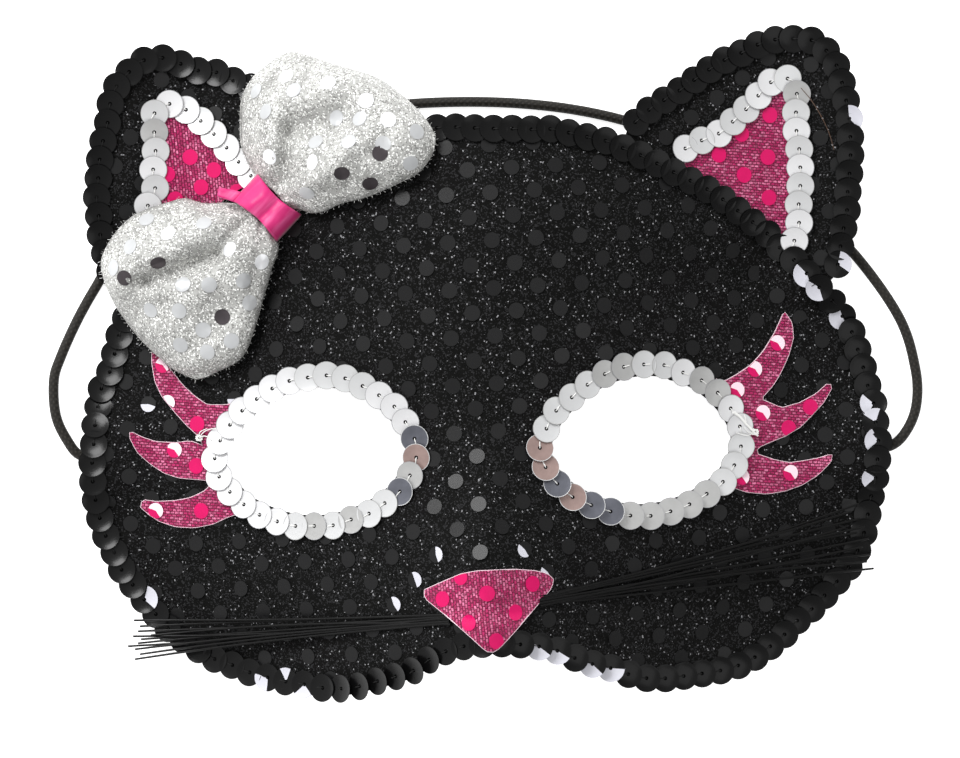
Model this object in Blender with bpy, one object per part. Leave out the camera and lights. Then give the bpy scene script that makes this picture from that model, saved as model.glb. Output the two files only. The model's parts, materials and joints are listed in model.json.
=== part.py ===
"""Cat half mask lying on its side rims, front up.

Lengths are in millimetres; MM turns them into metres when a mesh is made.
+X is to the right of the mask as seen from the front, +Y is towards the ears, +Z is out of the front.
"""

import math

import bpy
from mathutils import Vector
from mathutils.geometry import delaunay_2d_cdt

MM = 0.001

# Gaps and walls
GAP = 0.35
WALL = 1.8
CLOTH = 1.0
PATCH_CLEARANCE = 0.7
BOW_CLOTH = 1.2

# Face: the route of the rim sequins is drawn in shares of these two
RIM_HALF_WIDTH = 84.4
FACE_HEIGHT = 119.6
EDGE_BEYOND = 1.5
EDGE_PITCH = 5.0
FOOT_INSET = 2.1
FACE_GRID = 6.8
NOSE_ROW_APART = 5.0
NOSE_ROW_PITCH = 5.5
NOSE_ROW_SPAN = (-2, 7)
CLEAR_SHARE = 0.55

# Face relief
FACE_DEPTH = 30.0
ROLL_LIMIT = 1.5
RIM_EDGE = 1.0
RIM_FLAT = 1.4
WIDEST_Y = -17.5
SIDE_REACH = 39.8
SIDE_PULL = 0.2085
EAR_HALF_WIDTH = 82.0
EAR_START_Y = 12.0
EAR_FULL_Y = 32.0
ROUND_SHARE = 0.3
ROLL_START_Y = 20.0
ROLL_LENGTH = 30.0
FOREHEAD_ROLL = 0.15
EAR_LIFT = 4.6
EAR_LIFT_START_Y = 9.0
EAR_LIFT_LENGTH = 8.0
EAR_TILT = 0.1
EAR_LIFT_SHARES = (0.75, 0.97)
EAR_TILT_SHARES = (0.4, 0.95)
NOSE_HEIGHT = 9.0
NOSE_WIDTH = 12.0
NOSE_RIDGE = 3.0
NOSE_TOP_Y = -12.0
NOSE_FULL_Y = -46.0
SOCKET_DEPTH = 2.0
SOCKET_WIDTH = 24.0
SOCKET_HEIGHT = 17.0

# Sequins
SEQUIN_RADIUS = 3.0
SEQUIN_PITCH = 4.0
SEQUIN_THICK = 0.5
SEQUIN_STEP = 0.6
SEQUIN_CLEARANCE = 0.6
SEQUIN_SIDES = 3
SEQUIN_MIN_REACH = 0.2
SEQUIN_END_TURN = 48.0

# Eyes
EYE_SPACING = 69.6
EYE_Y = -18.0
EYE_RING_LENGTH = 43.6
EYE_RING_HEIGHT = 32.4
EYE_SHIFT_X = -1.4
EYE_TILT_Y = 1.2
EYE_HOLE_INSET = 2.4
EYE_HOLE_PITCH = 6.5

# Ears
EAR_BASE = 54.0
EAR_HEIGHT = 42.0
EAR_GRID = 7.0
EAR_EDGE_PITCH = 6.0
EAR_BASE_SHARE = 0.65
EAR_MIDDLE_SHARE = 0.222
EAR_BASE_TURN = 39.5

# Lashes, nose and whiskers
LASH_SHARE = 0.827
LASH_LENGTH = LASH_SHARE * (RIM_HALF_WIDTH - EYE_SPACING / 2)
PATCH_PITCH = 5.0
PATCH_MEETING = 1.0
PATCH_SLACK = 0.05
NOSE_PATCH_WIDTH = 27.0
NOSE_PATCH_HEIGHT = 17.2
NOSE_PATCH_X = 0.5
NOSE_PATCH_SHARE = 0.438
NOSE_PATCH_Y = -NOSE_PATCH_SHARE * FACE_HEIGHT
NOSE_PATCH_ROW = 4.0
NOSE_TIP_LIFT = 2.2
NOSE_TIP_SHARES = (0.04, 0.2)
WHISKER_LENGTH = 67.0
WHISKER_ROOT = 1.0
WHISKER_THICK = 0.8
WHISKER_RISE = 3.0
WHISKER_RISE_SHARES = (0.1, 0.85)
WHISKER_SECTIONS = 10

# Bow
BOW_OUT_SHARE = 0.552
BOW_UP_SHARE = 0.274
BOW_X = -BOW_OUT_SHARE * RIM_HALF_WIDTH
BOW_Y = BOW_UP_SHARE * FACE_HEIGHT
BOW_TURN = 47.0
BOW_LOBE_LENGTH = 36.5
BOW_LOBE_HALF_WIDTH = 20.0
BOW_PUFF = 9.0
BOW_CLEARANCE = 2.8
KNOT_WIDTH = 6.0
KNOT_LENGTH = 11.4
KNOT_HEIGHT = 7.0
KNOT_DROP = 1.0
LOBE_ACROSS = 5
LOBE_SIDE_SHARE = 0.62

# Elastic
CORD_DIAMETER = 2.2
CORD_POINT_STEP = 5.6
CORD_LIFT = 3.7
CORD_LIFT_LENGTH = 9.0
CORD_LIFT_SHARES = (0.82, 0.99)
CORD_INSET = 2.8
CORD_INNER_X = RIM_HALF_WIDTH - CORD_INSET
CORD_LEFT_SHARE = 0.171
CORD_RIGHT_SHARE = 0.154
CORD_LEFT_Y = -CORD_LEFT_SHARE * FACE_HEIGHT
CORD_RIGHT_Y = -CORD_RIGHT_SHARE * FACE_HEIGHT
ANCHOR_LENGTH = 6.0
ANCHOR_WIDTH = 5.0

# Rim sequin route, clockwise from the top: share of RIM_HALF_WIDTH, share of FACE_HEIGHT
RIM_ROUTE = (
    (0.02, 0.414),
    (0.17, 0.412),
    (0.28, 0.397),
    (0.375, 0.374),
    (0.455, 0.345),
    (0.55, 0.31),
    (0.637, 0.272),
    (0.72, 0.224),
    (0.79, 0.175),
    (0.87, 0.118),
    (0.932, 0.057),
    (0.962, -0.013),
    (0.99, -0.09),
    (0.998, -0.18),
    (0.973, -0.275),
    (0.942, -0.345),
    (0.883, -0.407),
    (0.805, -0.46),
    (0.72, -0.513),
    (0.63, -0.548),
    (0.52, -0.563),
    (0.42, -0.565),
    (0.33, -0.551),
    (0.245, -0.532),
    (0.16, -0.51),
    (0.088, -0.501),
    (0.02, -0.498),
    (-0.05, -0.503),
    (-0.12, -0.52),
    (-0.195, -0.552),
    (-0.288, -0.572),
    (-0.37, -0.584),
    (-0.46, -0.578),
    (-0.56, -0.563),
    (-0.653, -0.543),
    (-0.733, -0.515),
    (-0.815, -0.474),
    (-0.885, -0.414),
    (-0.942, -0.352),
    (-0.978, -0.288),
    (-1.0, -0.217),
    (-0.995, -0.145),
    (-0.985, -0.067),
    (-0.958, -0.02),
    (-0.937, 0.03),
    (-0.92, 0.07),
    (-0.87, 0.118),
    (-0.79, 0.175),
    (-0.72, 0.224),
    (-0.637, 0.272),
    (-0.55, 0.31),
    (-0.455, 0.345),
    (-0.375, 0.37),
    (-0.25, 0.4),
    (-0.12, 0.414),
)

# Ear routes: share of EAR_BASE along the base outwards, share of EAR_HEIGHT away from it
EAR_BLACK_RIGHT = (
    (-0.612, 0.1),
    (-0.6, 0.2),
    (-0.57, 0.34),
    (-0.53, 0.51),
    (-0.478, 0.7),
    (-0.392, 0.895),
    (-0.335, 0.96),
    (-0.26, 1.01),
    (-0.175, 1.004),
    (-0.095, 0.95),
    (-0.028, 0.88),
    (0.095, 0.725),
    (0.195, 0.555),
    (0.28, 0.39),
    (0.365, 0.21),
)
EAR_SILVER_RIGHT = (
    (-0.383, 0.16),
    (-0.34, 0.315),
    (-0.313, 0.484),
    (-0.306, 0.668),
    (-0.268, 0.762),
    (-0.19, 0.735),
    (-0.098, 0.596),
    (0.005, 0.46),
    (0.098, 0.308),
    (0.138, 0.238),
)
EAR_BLACK_LEFT = (
    (-0.62, 0.1),
    (-0.56, 0.3),
    (-0.44, 0.53),
    (-0.382, 0.684),
    (-0.326, 0.75),
    (-0.252, 0.914),
    (-0.2, 0.963),
    (-0.128, 0.981),
    (-0.057, 0.963),
    (0.008, 0.926),
    (0.076, 0.853),
    (0.21, 0.724),
    (0.315, 0.568),
    (0.405, 0.389),
    (0.455, 0.26),
)
EAR_SILVER_LEFT = (
    (-0.222, 0.17),
    (-0.218, 0.342),
    (-0.208, 0.518),
    (-0.178, 0.695),
    (-0.106, 0.739),
    (-0.043, 0.673),
    (0.0, 0.594),
    (0.053, 0.524),
    (0.094, 0.449),
    (0.158, 0.398),
    (0.23, 0.3),
    (0.27, 0.25),
)

# Eye ring, clockwise: share of half the ring's length and of half its height
EYE_RING = (
    (-1.0, -0.1),
    (-0.91, 0.24),
    (-0.74, 0.52),
    (-0.47, 0.8),
    (-0.13, 0.97),
    (0.23, 0.97),
    (0.57, 0.79),
    (0.83, 0.48),
    (0.98, 0.1),
    (0.94, -0.27),
    (0.74, -0.62),
    (0.4, -0.88),
    (0.02, -0.99),
    (-0.35, -0.93),
    (-0.7, -0.72),
    (-0.92, -0.43),
)

# Lash points, outwards from the eye's centre, from the upper root to the lower: shares of LASH_LENGTH
LASH_RIGHT = (
    (0.455, 0.315),
    (0.555, 0.375),
    (0.64, 0.46),
    (0.752, 0.674),
    (0.79, 0.6),
    (0.77, 0.43),
    (0.66, 0.235),
    (0.78, 0.17),
    (0.92, 0.24),
    (1.0, 0.287),
    (0.955, 0.19),
    (0.82, 0.05),
    (0.64, -0.04),
    (0.72, -0.11),
    (0.86, -0.11),
    (1.0, -0.08),
    (0.93, -0.18),
    (0.76, -0.265),
    (0.6, -0.278),
    (0.49, -0.245),
)
LASH_LEFT = (
    (0.5, 0.235),
    (0.58, 0.245),
    (0.7, 0.345),
    (0.86, 0.522),
    (0.862, 0.46),
    (0.79, 0.25),
    (0.62, 0.05),
    (0.74, 0.042),
    (0.86, 0.06),
    (0.975, 0.104),
    (0.94, -0.005),
    (0.8, -0.115),
    (0.6, -0.155),
    (0.67, -0.24),
    (0.8, -0.266),
    (0.914, -0.256),
    (0.85, -0.36),
    (0.7, -0.4),
    (0.54, -0.38),
    (0.43, -0.33),
)

# Nose patch: share of NOSE_PATCH_WIDTH, share of NOSE_PATCH_HEIGHT
NOSE_OUTLINE = (
    (-0.5, 0.21),
    (-0.5, 0.12),
    (-0.245, -0.2),
    (-0.02, -0.52),
    (0.06, -0.52),
    (0.3, -0.1),
    (0.5, 0.25),
    (0.5, 0.36),
    (0.36, 0.46),
    (0.05, 0.48),
    (-0.21, 0.42),
)

# Whiskers: share of NOSE_PATCH_WIDTH and of NOSE_PATCH_HEIGHT from the nose's middle to the root,
# the middle's direction and half the spread in degrees
WHISKER_LEFT = (-0.367, -0.128, 184.6, 3.6)
WHISKER_RIGHT = (0.515, 0.116, 10.8, 5.6)

# Bow lobes: share of the lobe's length, left and right half widths as shares, share of the puff
BOW_UPPER = (
    (0.1, 0.25, 0.28, 0.42),
    (0.2, 0.62, 0.44, 0.7),
    (0.42, 0.97, 0.57, 0.95),
    (0.64, 1.04, 0.78, 1.0),
    (0.83, 0.82, 0.92, 0.88),
    (1.0, 0.3, 0.72, 0.5),
)
BOW_LOWER = (
    (0.1, 0.26, 0.3, 0.42),
    (0.22, 0.46, 0.47, 0.7),
    (0.42, 0.84, 0.58, 0.95),
    (0.66, 1.02, 0.84, 1.0),
    (0.86, 0.94, 0.88, 0.88),
    (1.05, 0.35, 0.6, 0.5),
)

# Knot, seen along the bow: share of half its length, share of its height
KNOT_PROFILE = (
    (-1.0, 0.12),
    (-0.93, 0.0),
    (0.93, 0.0),
    (1.0, 0.12),
    (1.0, 0.7),
    (0.8, 0.93),
    (0.4, 1.0),
    (-0.4, 1.0),
    (-0.8, 0.93),
    (-1.0, 0.7),
)

# Elastic: its chosen route on the surface, between its two ends
CORD_ROUTE = (
    (-87.0, -20.2),
    (-89.9, -17.0),
    (-92.4, -11.5),
    (-92.8, -4.0),
    (-91.3, 1.0),
    (-87.9, 8.6),
    (-83.9, 15.8),
    (-78.2, 24.8),
    (-68.0, 34.5),
    (-53.0, 44.8),
    (-36.0, 51.8),
    (-17.0, 55.3),
    (7.0, 55.5),
    (28.0, 52.3),
    (48.0, 45.2),
    (65.0, 36.0),
    (78.2, 24.3),
    (88.7, 9.9),
    (92.4, -1.5),
    (92.6, -9.5),
    (90.3, -15.2),
    (86.9, -18.2),
)


def smoothstep(low, high, value):
    t = min(1.0, max(0.0, (value - low) / (high - low)))
    return t * t * (3.0 - 2.0 * t)


def half_width(y):
    """Half of the width at which the relief comes down to the rim."""
    pull = SIDE_PULL * math.tanh(((y - WIDEST_Y) / SIDE_REACH) ** 2)
    face = (RIM_HALF_WIDTH + EDGE_BEYOND) * (1.0 - pull) - RIM_FLAT
    ears = smoothstep(EAR_START_Y, EAR_FULL_Y, y)
    return face + (EAR_HALF_WIDTH - face) * ears


def nose_height(x, y):
    ridge = math.sqrt(x * x + NOSE_RIDGE**2) - NOSE_RIDGE
    along = smoothstep(-NOSE_TOP_Y, -NOSE_FULL_Y, -y)
    return NOSE_HEIGHT * along * math.exp(-ridge / NOSE_WIDTH)


def socket_depth(x, y):
    across = (abs(x) - EYE_SPACING / 2) / SOCKET_WIDTH
    up = (y - EYE_Y) / SOCKET_HEIGHT
    return SOCKET_DEPTH * math.exp(-across * across - up * up)


def cord_lift(x, y):
    """The rim's two small arches over the elastic."""
    middle = CORD_LEFT_Y if x < 0 else CORD_RIGHT_Y
    away = (y - middle) / CORD_LIFT_LENGTH
    return CORD_LIFT * math.exp(-(away**4))


def mask_height(x, y):
    """Height of the front of the felt over the surface that the mask lies on."""
    s = min(1.0, abs(x) / half_width(y))
    flare = math.cos(math.pi / 2 * s) ** 2
    side = ROUND_SHARE * (1.0 - s * s) + (1.0 - ROUND_SHARE) * flare
    over = max(0.0, (y - ROLL_START_Y) / ROLL_LENGTH)
    roll = 1.0 - FOREHEAD_ROLL * min(over, ROLL_LIMIT) ** 2
    ear_start = EAR_LIFT_START_Y + EAR_LIFT_LENGTH
    lift = EAR_LIFT * smoothstep(EAR_LIFT_START_Y, ear_start, y) * smoothstep(*EAR_LIFT_SHARES, s)
    lift += EAR_TILT * max(0.0, y - ear_start) * smoothstep(*EAR_TILT_SHARES, s)
    lift += cord_lift(x, y) * smoothstep(*CORD_LIFT_SHARES, s)
    return RIM_EDGE + FACE_DEPTH * side * roll + lift + nose_height(x, y) - socket_depth(x, y)


def shell_under(x, y):
    return max(0.0, mask_height(x, y) - WALL)


def smooth_route(points, closed, step=0.5):
    """A Catmull-Rom curve through the points, as closely spaced points."""
    n = len(points)
    ends = points if closed else [points[0], *points, points[-1]]
    spans = range(n) if closed else range(1, n)
    out = []
    for i in spans:
        a, b, c, d = (Vector(ends[(i + k - 1) % len(ends)]) for k in range(4))
        count = max(2, math.ceil((c - b).length / step))
        for k in range(count):
            t = k / count
            cubic = (b - c) * 3 + d - a
            square = a * 2 - b * 5 + c * 4 - d
            out.append((b * 2 + (c - a) * t + square * t * t + cubic * t**3) / 2)
    if not closed:
        out.append(Vector(points[-1]))
    return out


def spaced(line, pitch, closed):
    """Points at equal distances near the pitch along a line."""
    loop = [*line, line[0]] if closed else line
    along = [0.0]
    for a, b in zip(loop, loop[1:]):
        along.append(along[-1] + (b - a).length)
    count = max(2, round(along[-1] / pitch))
    out = []
    i = 0
    for k in range(count if closed else count + 1):
        at = min(along[-1] * k / count, along[-1] - 1e-6)
        while along[i + 1] < at:
            i += 1
        share = (at - along[i]) / (along[i + 1] - along[i])
        out.append(loop[i].lerp(loop[i + 1], share))
    return out


def offset(line, distance, closed):
    """The line moved sideways, to the left of its direction where the distance is positive."""
    out = []
    n = len(line)
    for i, p in enumerate(line):
        a = line[i - 1] if closed or i > 0 else p
        b = line[(i + 1) % n] if closed or i < n - 1 else p
        d = (b - a).normalized()
        out.append(p + Vector((-d.y, d.x)) * distance)
    return out


def nearest(line, point):
    return min(range(len(line)), key=lambda i: (line[i] - point).length)


def stretch(line, start, end):
    """The shorter way round a closed line from the place nearest start to that nearest end."""
    a, b = nearest(line, start), nearest(line, end)
    n = len(line)
    forward = (b - a) % n
    if forward <= n - forward:
        return [line[(a + k) % n] for k in range(forward + 1)]
    return [line[(a - k) % n] for k in range(n - forward + 1)]


def inside(point, polygon):
    x, y = point
    found = False
    for a, b in zip(polygon, [*polygon[1:], polygon[0]]):
        if (a.y > y) != (b.y > y) and x < (b.x - a.x) * (y - a.y) / (b.y - a.y) + a.x:
            found = not found
    return found


def material(name, colour, roughness, metallic=0.0):
    m = bpy.data.materials.new(name)
    m.use_nodes = True
    shader = m.node_tree.nodes["Principled BSDF"]
    shader.inputs["Base Color"].default_value = (*colour, 1.0)
    shader.inputs["Roughness"].default_value = roughness
    shader.inputs["Metallic"].default_value = metallic
    return m


def solid(name, vertices, faces, finish):
    """One object from vertices in millimetres."""
    mesh = bpy.data.meshes.new(name)
    mesh.from_pydata([tuple(c * MM for c in v) for v in vertices], [], faces)
    mesh.validate()
    mesh.materials.append(finish)
    obj = bpy.data.objects.new(name, mesh)
    bpy.context.scene.collection.objects.link(obj)
    return obj


def sheet(name, outline, holes, grid, top, under, finish, extra=()):
    """A sheet between two height functions, inside an outline and outside its holes."""
    loops = [outline, *holes]
    points = []
    edges = []
    for loop in loops:
        first = len(points)
        points += loop
        n = len(loop)
        edges += [(first + i, first + (i + 1) % n) for i in range(n)]
    border = list(points)
    points += extra
    low_x, high_x = min(p.x for p in outline), max(p.x for p in outline)
    low_y, high_y = min(p.y for p in outline), max(p.y for p in outline)
    row = grid * math.sqrt(3) / 2
    fixed = list(points)
    for j in range(math.ceil((high_y - low_y) / row) + 1):
        for i in range(math.ceil((high_x - low_x) / grid) + 1):
            p = Vector((low_x + (i + 0.5 * (j % 2)) * grid, low_y + j * row))
            if inside(p, outline) and not any(inside(p, h) for h in holes):
                if min((p - q).length for q in fixed) > CLEAR_SHARE * grid:
                    points.append(p)
    made = delaunay_2d_cdt(points, edges, [], 0, 1e-5)
    plan, triangles = made[0], made[2]
    kept = []
    for t in triangles:
        centre = (plan[t[0]] + plan[t[1]] + plan[t[2]]) / 3
        if inside(centre, outline) and not any(inside(centre, h) for h in holes):
            a, b, c = (plan[i] for i in t)
            turn = (b - a).cross(c - a)
            if abs(turn) > 1e-6:
                kept.append(tuple(t) if turn > 0 else tuple(reversed(t)))
    n = len(plan)
    vertices = [(p.x, p.y, top(p.x, p.y)) for p in plan]
    vertices += [(p.x, p.y, under(p.x, p.y)) for p in plan]
    used = {(a, b) for t in kept for a, b in zip(t, (t[1], t[2], t[0]))}
    faces = list(kept) + [tuple(i + n for i in reversed(t)) for t in kept]
    for a, b in used:
        if (b, a) not in used:
            faces += [(b, a, a + n), (b, a + n, b + n)]
    live = sorted({i for f in faces for i in f})
    index = {old: new for new, old in enumerate(live)}
    faces = [tuple(index[i] for i in f) for f in faces]
    return solid(name, [vertices[i] for i in live], faces, finish)


def circle_point(centre, along, degrees):
    """A point of a sequin's edge, at an angle from the string's direction."""
    a = math.radians(degrees)
    across = Vector((-along.y, along.x))
    return centre + (along * math.cos(a) + across * math.sin(a)) * SEQUIN_RADIUS


def bisector_cusps(a, b):
    """The two places where the edges of neighbouring sequins cross, left one first."""
    d = b - a
    reach = math.sqrt(max(SEQUIN_RADIUS**2 - d.length_squared / 4, SEQUIN_MIN_REACH**2))
    across = Vector((-d.y, d.x)).normalized() * reach
    middle = (a + b) / 2
    return middle + across, middle - across


def arc_between(centre, start, end, via, segments):
    """Points of the sequin's edge from start to end, round the side that via points to."""
    a = math.atan2(*(start - centre).yx)
    b = math.atan2(*(end - centre).yx)
    v = math.atan2(*via.yx)
    turn = (b - a) % math.tau
    if (v - a) % math.tau > turn:
        turn -= math.tau
    out = []
    for k in range(1, segments):
        angle = a + turn * k / segments
        out.append(centre + Vector((math.cos(angle), math.sin(angle))) * SEQUIN_RADIUS)
    return out


def fan(corner, rest):
    """Triangles from one corner to each pair of neighbours among the rest."""
    return [(corner, a, b) for a, b in zip(rest, rest[1:])]


def reversed_fan(corner, rest):
    """The same triangles, turned over."""
    return [(corner, b, a) for a, b in zip(rest, rest[1:])]


def sequin_string(name, centres, closed, finish):
    """A fused string of sequins, each lying over the one before it."""
    n = len(centres)
    vertices = []
    faces = []

    def add(p, rise):
        vertices.append((p.x, p.y, mask_height(p.x, p.y) + SEQUIN_CLEARANCE + rise))
        return len(vertices) - 1

    directions = []
    for i in range(n):
        a = centres[i - 1] if closed or i > 0 else centres[i]
        b = centres[(i + 1) % n] if closed or i < n - 1 else centres[i]
        directions.append((b - a).normalized())

    low, high = SEQUIN_THICK, SEQUIN_THICK + SEQUIN_STEP
    joins = []
    for i in range(n):
        if i == 0 and not closed:
            left = circle_point(centres[0], directions[0], 180.0 - SEQUIN_END_TURN)
            right = circle_point(centres[0], directions[0], SEQUIN_END_TURN - 180.0)
        else:
            left, right = bisector_cusps(centres[i - 1], centres[i])
        arc = [left, *arc_between(centres[i], left, right, -directions[i], SEQUIN_SIDES), right]
        first = i == 0 and not closed
        joins.append(
            {
                "ends": (left, right),
                "under": (add(left, 0.0), add(right, 0.0)),
                "raised": [add(p, high) for p in arc],
                "lower": [] if first else [add(p, low) for p in arc],
            }
        )
    if not closed:
        left = circle_point(centres[-1], directions[-1], SEQUIN_END_TURN)
        right = circle_point(centres[-1], directions[-1], -SEQUIN_END_TURN)
        arc = [left, *arc_between(centres[-1], left, right, directions[-1], SEQUIN_SIDES), right]
        joins.append(
            {
                "ends": (left, right),
                "under": (add(left, 0.0), add(right, 0.0)),
                "raised": [],
                "lower": [add(p, low) for p in arc],
            }
        )

    for i in range(n):
        here, after = joins[i], joins[(i + 1) % len(joins)]
        across = Vector((-directions[i].y, directions[i].x))
        sides = []
        for k, way in ((0, across), (1, -across)):
            side = arc_between(centres[i], here["ends"][k], after["ends"][k], way, SEQUIN_SIDES)
            drop = (high - low) / SEQUIN_SIDES
            sides.append([add(p, high - drop * (j + 1)) for j, p in enumerate(side)])
        rear, front = here["raised"], after["lower"]
        for k in range(len(rear) - 1):
            faces.append((rear[k], rear[k + 1], front[k + 1]))
            faces.append((rear[k], front[k + 1], front[k]))
        faces += reversed_fan(rear[0], (*sides[0], front[0]))
        faces += fan(rear[-1], (*sides[1], front[-1]))
        low_left, low_right = here["lower"][:1], here["lower"][-1:]
        faces += fan(after["under"][0], (here["under"][0], *low_left, rear[0], *sides[0], front[0]))
        right_wall = (here["under"][1], *low_right, rear[-1], *sides[1], front[-1])
        faces += reversed_fan(after["under"][1], right_wall)
        faces.append((here["under"][0], after["under"][0], after["under"][1], here["under"][1]))
        if here["lower"]:
            for a, b, c, d in zip(rear, rear[1:], here["lower"][1:], here["lower"]):
                faces.append((a, d, c, b))
        else:
            faces += fan(here["under"][1], (*reversed(rear), here["under"][0]))
        if not after["raised"]:
            faces += fan(after["under"][1], (after["under"][0], *front))
    return solid(name, vertices, faces, finish)


def build_face(finish, eyes, rim):
    """The face, with an inner row of points for its flat feet and three rows down the nose."""
    outline = spaced(offset(rim, EDGE_BEYOND, True), EDGE_PITCH, True)
    foot = spaced(offset(rim, -FOOT_INSET, True), EDGE_PITCH, True)
    holes = [spaced(offset(eye, -EYE_HOLE_INSET, True), EYE_HOLE_PITCH, True) for eye in eyes]
    columns = (-NOSE_ROW_APART, 0.0, NOSE_ROW_APART)
    steps = [NOSE_FULL_Y + NOSE_ROW_PITCH * k for k in range(*NOSE_ROW_SPAN)]
    extra = [*foot, *(Vector((x, y)) for x in columns for y in steps)]
    return sheet("face_shell", outline, holes, FACE_GRID, mask_height, shell_under, finish, extra)


def ear_frame(side):
    """The middle of the ear's base and the two directions that its shares follow."""
    middle = Vector((side * EAR_BASE_SHARE * RIM_HALF_WIDTH, EAR_MIDDLE_SHARE * FACE_HEIGHT))
    turn = math.radians(-EAR_BASE_TURN)
    along = Vector((side * math.cos(turn), math.sin(turn)))
    away = Vector((-side * math.sin(turn), math.cos(turn)))
    return middle, along, away


def ear_route(side, shares):
    middle, along, away = ear_frame(side)
    points = [middle + along * s * EAR_BASE + away * h * EAR_HEIGHT for s, h in shares]
    return smooth_route(points, False)


def ear_panel(name, side, route, rim, finish):
    """An ear panel from the face's edge to the edge under its outer sequins."""
    edge = offset(route, side * EDGE_BEYOND, False)
    base = offset(rim, EDGE_BEYOND + GAP, True)
    back = stretch(base, edge[-1], edge[0])
    free = spaced(edge, EAR_EDGE_PITCH, False)
    under_row = spaced(back, EDGE_PITCH, False)
    outline = [*free, *under_row]
    if side > 0:
        outline.reverse()
    return sheet(name, outline, [], EAR_GRID, mask_height, shell_under, finish)


def clear_of(centres, row, distance):
    """The centres that stay clear of another row."""
    return [c for c in centres if min((c - r).length for r in row) > distance]


def patch(name, outline, finish, grid, lift=None, extra=()):
    def under(x, y):
        return mask_height(x, y) + PATCH_CLEARANCE + (lift(x, y) if lift else 0.0)

    def top(x, y):
        return under(x, y) + CLOTH

    return sheet(name, outline, [], grid, top, under, finish, extra)


def ear_patch(name, side, silver, rim, finish):
    """The pink knit between the silver string and the face's row."""
    clear = SEQUIN_RADIUS + GAP
    sides = offset(silver, -side * clear, False)
    base = offset(rim, clear, True)
    inner = [p for p in sides if min((p - s).length for s in silver) > clear - PATCH_SLACK]
    inner = [p for p in inner if min((p - r).length for r in base) > PATCH_MEETING]
    back = stretch(base, inner[-1], inner[0])
    outline = [*spaced(inner, PATCH_PITCH, False), *spaced(back, EAR_EDGE_PITCH, False)]
    if side > 0:
        outline.reverse()
    return patch(name, outline, finish, EAR_GRID)


def eye_centre(side):
    """The middle of an eye."""
    return Vector((side * EYE_SPACING / 2 + EYE_SHIFT_X, EYE_Y + side * EYE_TILT_Y))


def eye_ring(side):
    centre = eye_centre(side)
    points = [centre + Vector((a * EYE_RING_LENGTH / 2, b * EYE_RING_HEIGHT / 2)) for a, b in EYE_RING]
    return smooth_route(points, True)


def lash_patch(name, side, shares, ring, finish):
    centre = eye_centre(side)
    points = [centre + Vector((side * a * LASH_LENGTH, b * LASH_LENGTH)) for a, b in shares]
    clear = offset(ring, SEQUIN_RADIUS + GAP, True)
    root = stretch(clear, points[-1], points[0])
    points = [p for p in points if not inside(p, clear)]
    outline = [*points, *spaced(root, PATCH_PITCH, False)]
    if side > 0:
        outline.reverse()
    return patch(name, outline, finish, EAR_GRID)


def nose_patch(finish):
    centre = Vector((NOSE_PATCH_X, NOSE_PATCH_Y))
    corners = [
        centre + Vector((a * NOSE_PATCH_WIDTH, b * NOSE_PATCH_HEIGHT)) for a, b in NOSE_OUTLINE
    ]
    ridge = [Vector((0.0, NOSE_PATCH_Y + k * NOSE_PATCH_ROW)) for k in (-1.5, -0.5, 0.5, 1.5)]

    def lift(x, y):
        below = (NOSE_PATCH_Y - y) / NOSE_PATCH_HEIGHT
        return NOSE_TIP_LIFT * smoothstep(*NOSE_TIP_SHARES, below)

    return patch("nose_patch", corners, finish, PATCH_PITCH, lift, ridge)


def whisker_fan(name, across_nose, up_nose, degrees, spread, finish):
    """A bundle of bristles that leaves the nose and fans out over the cheek."""
    root_x = NOSE_PATCH_X + across_nose * NOSE_PATCH_WIDTH
    root = Vector((root_x, NOSE_PATCH_Y + up_nose * NOSE_PATCH_HEIGHT))
    middle = math.radians(degrees)
    along = Vector((math.cos(middle), math.sin(middle)))
    across = Vector((-along.y, along.x))
    vertices = []
    for k in range(WHISKER_SECTIONS + 1):
        share = k / WHISKER_SECTIONS
        half = WHISKER_ROOT + math.tan(math.radians(spread)) * WHISKER_LENGTH * share
        rise = GAP + WHISKER_RISE * smoothstep(*WHISKER_RISE_SHARES, share)
        for side, level in ((-1, 0.0), (1, 0.0), (1, WHISKER_THICK), (-1, WHISKER_THICK)):
            p = root + along * WHISKER_LENGTH * share + across * side * half
            vertices.append((p.x, p.y, mask_height(p.x, p.y) + rise + level))
    faces = [(3, 2, 1, 0)]
    for k in range(WHISKER_SECTIONS):
        for j in range(4):
            a, b = 4 * k + j, 4 * k + (j + 1) % 4
            faces.append((a, b, b + 4, a + 4))
    faces.append(tuple(4 * WHISKER_SECTIONS + j for j in range(4)))
    return solid(name, vertices, faces, finish)


def bow_point(turn, along, across):
    a = math.radians(BOW_TURN + turn)
    e1 = Vector((math.cos(a), math.sin(a)))
    e2 = Vector((-e1.y, e1.x)) if turn == 0 else Vector((e1.y, -e1.x))
    return Vector((BOW_X, BOW_Y)) + e1 * along + e2 * across


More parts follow.
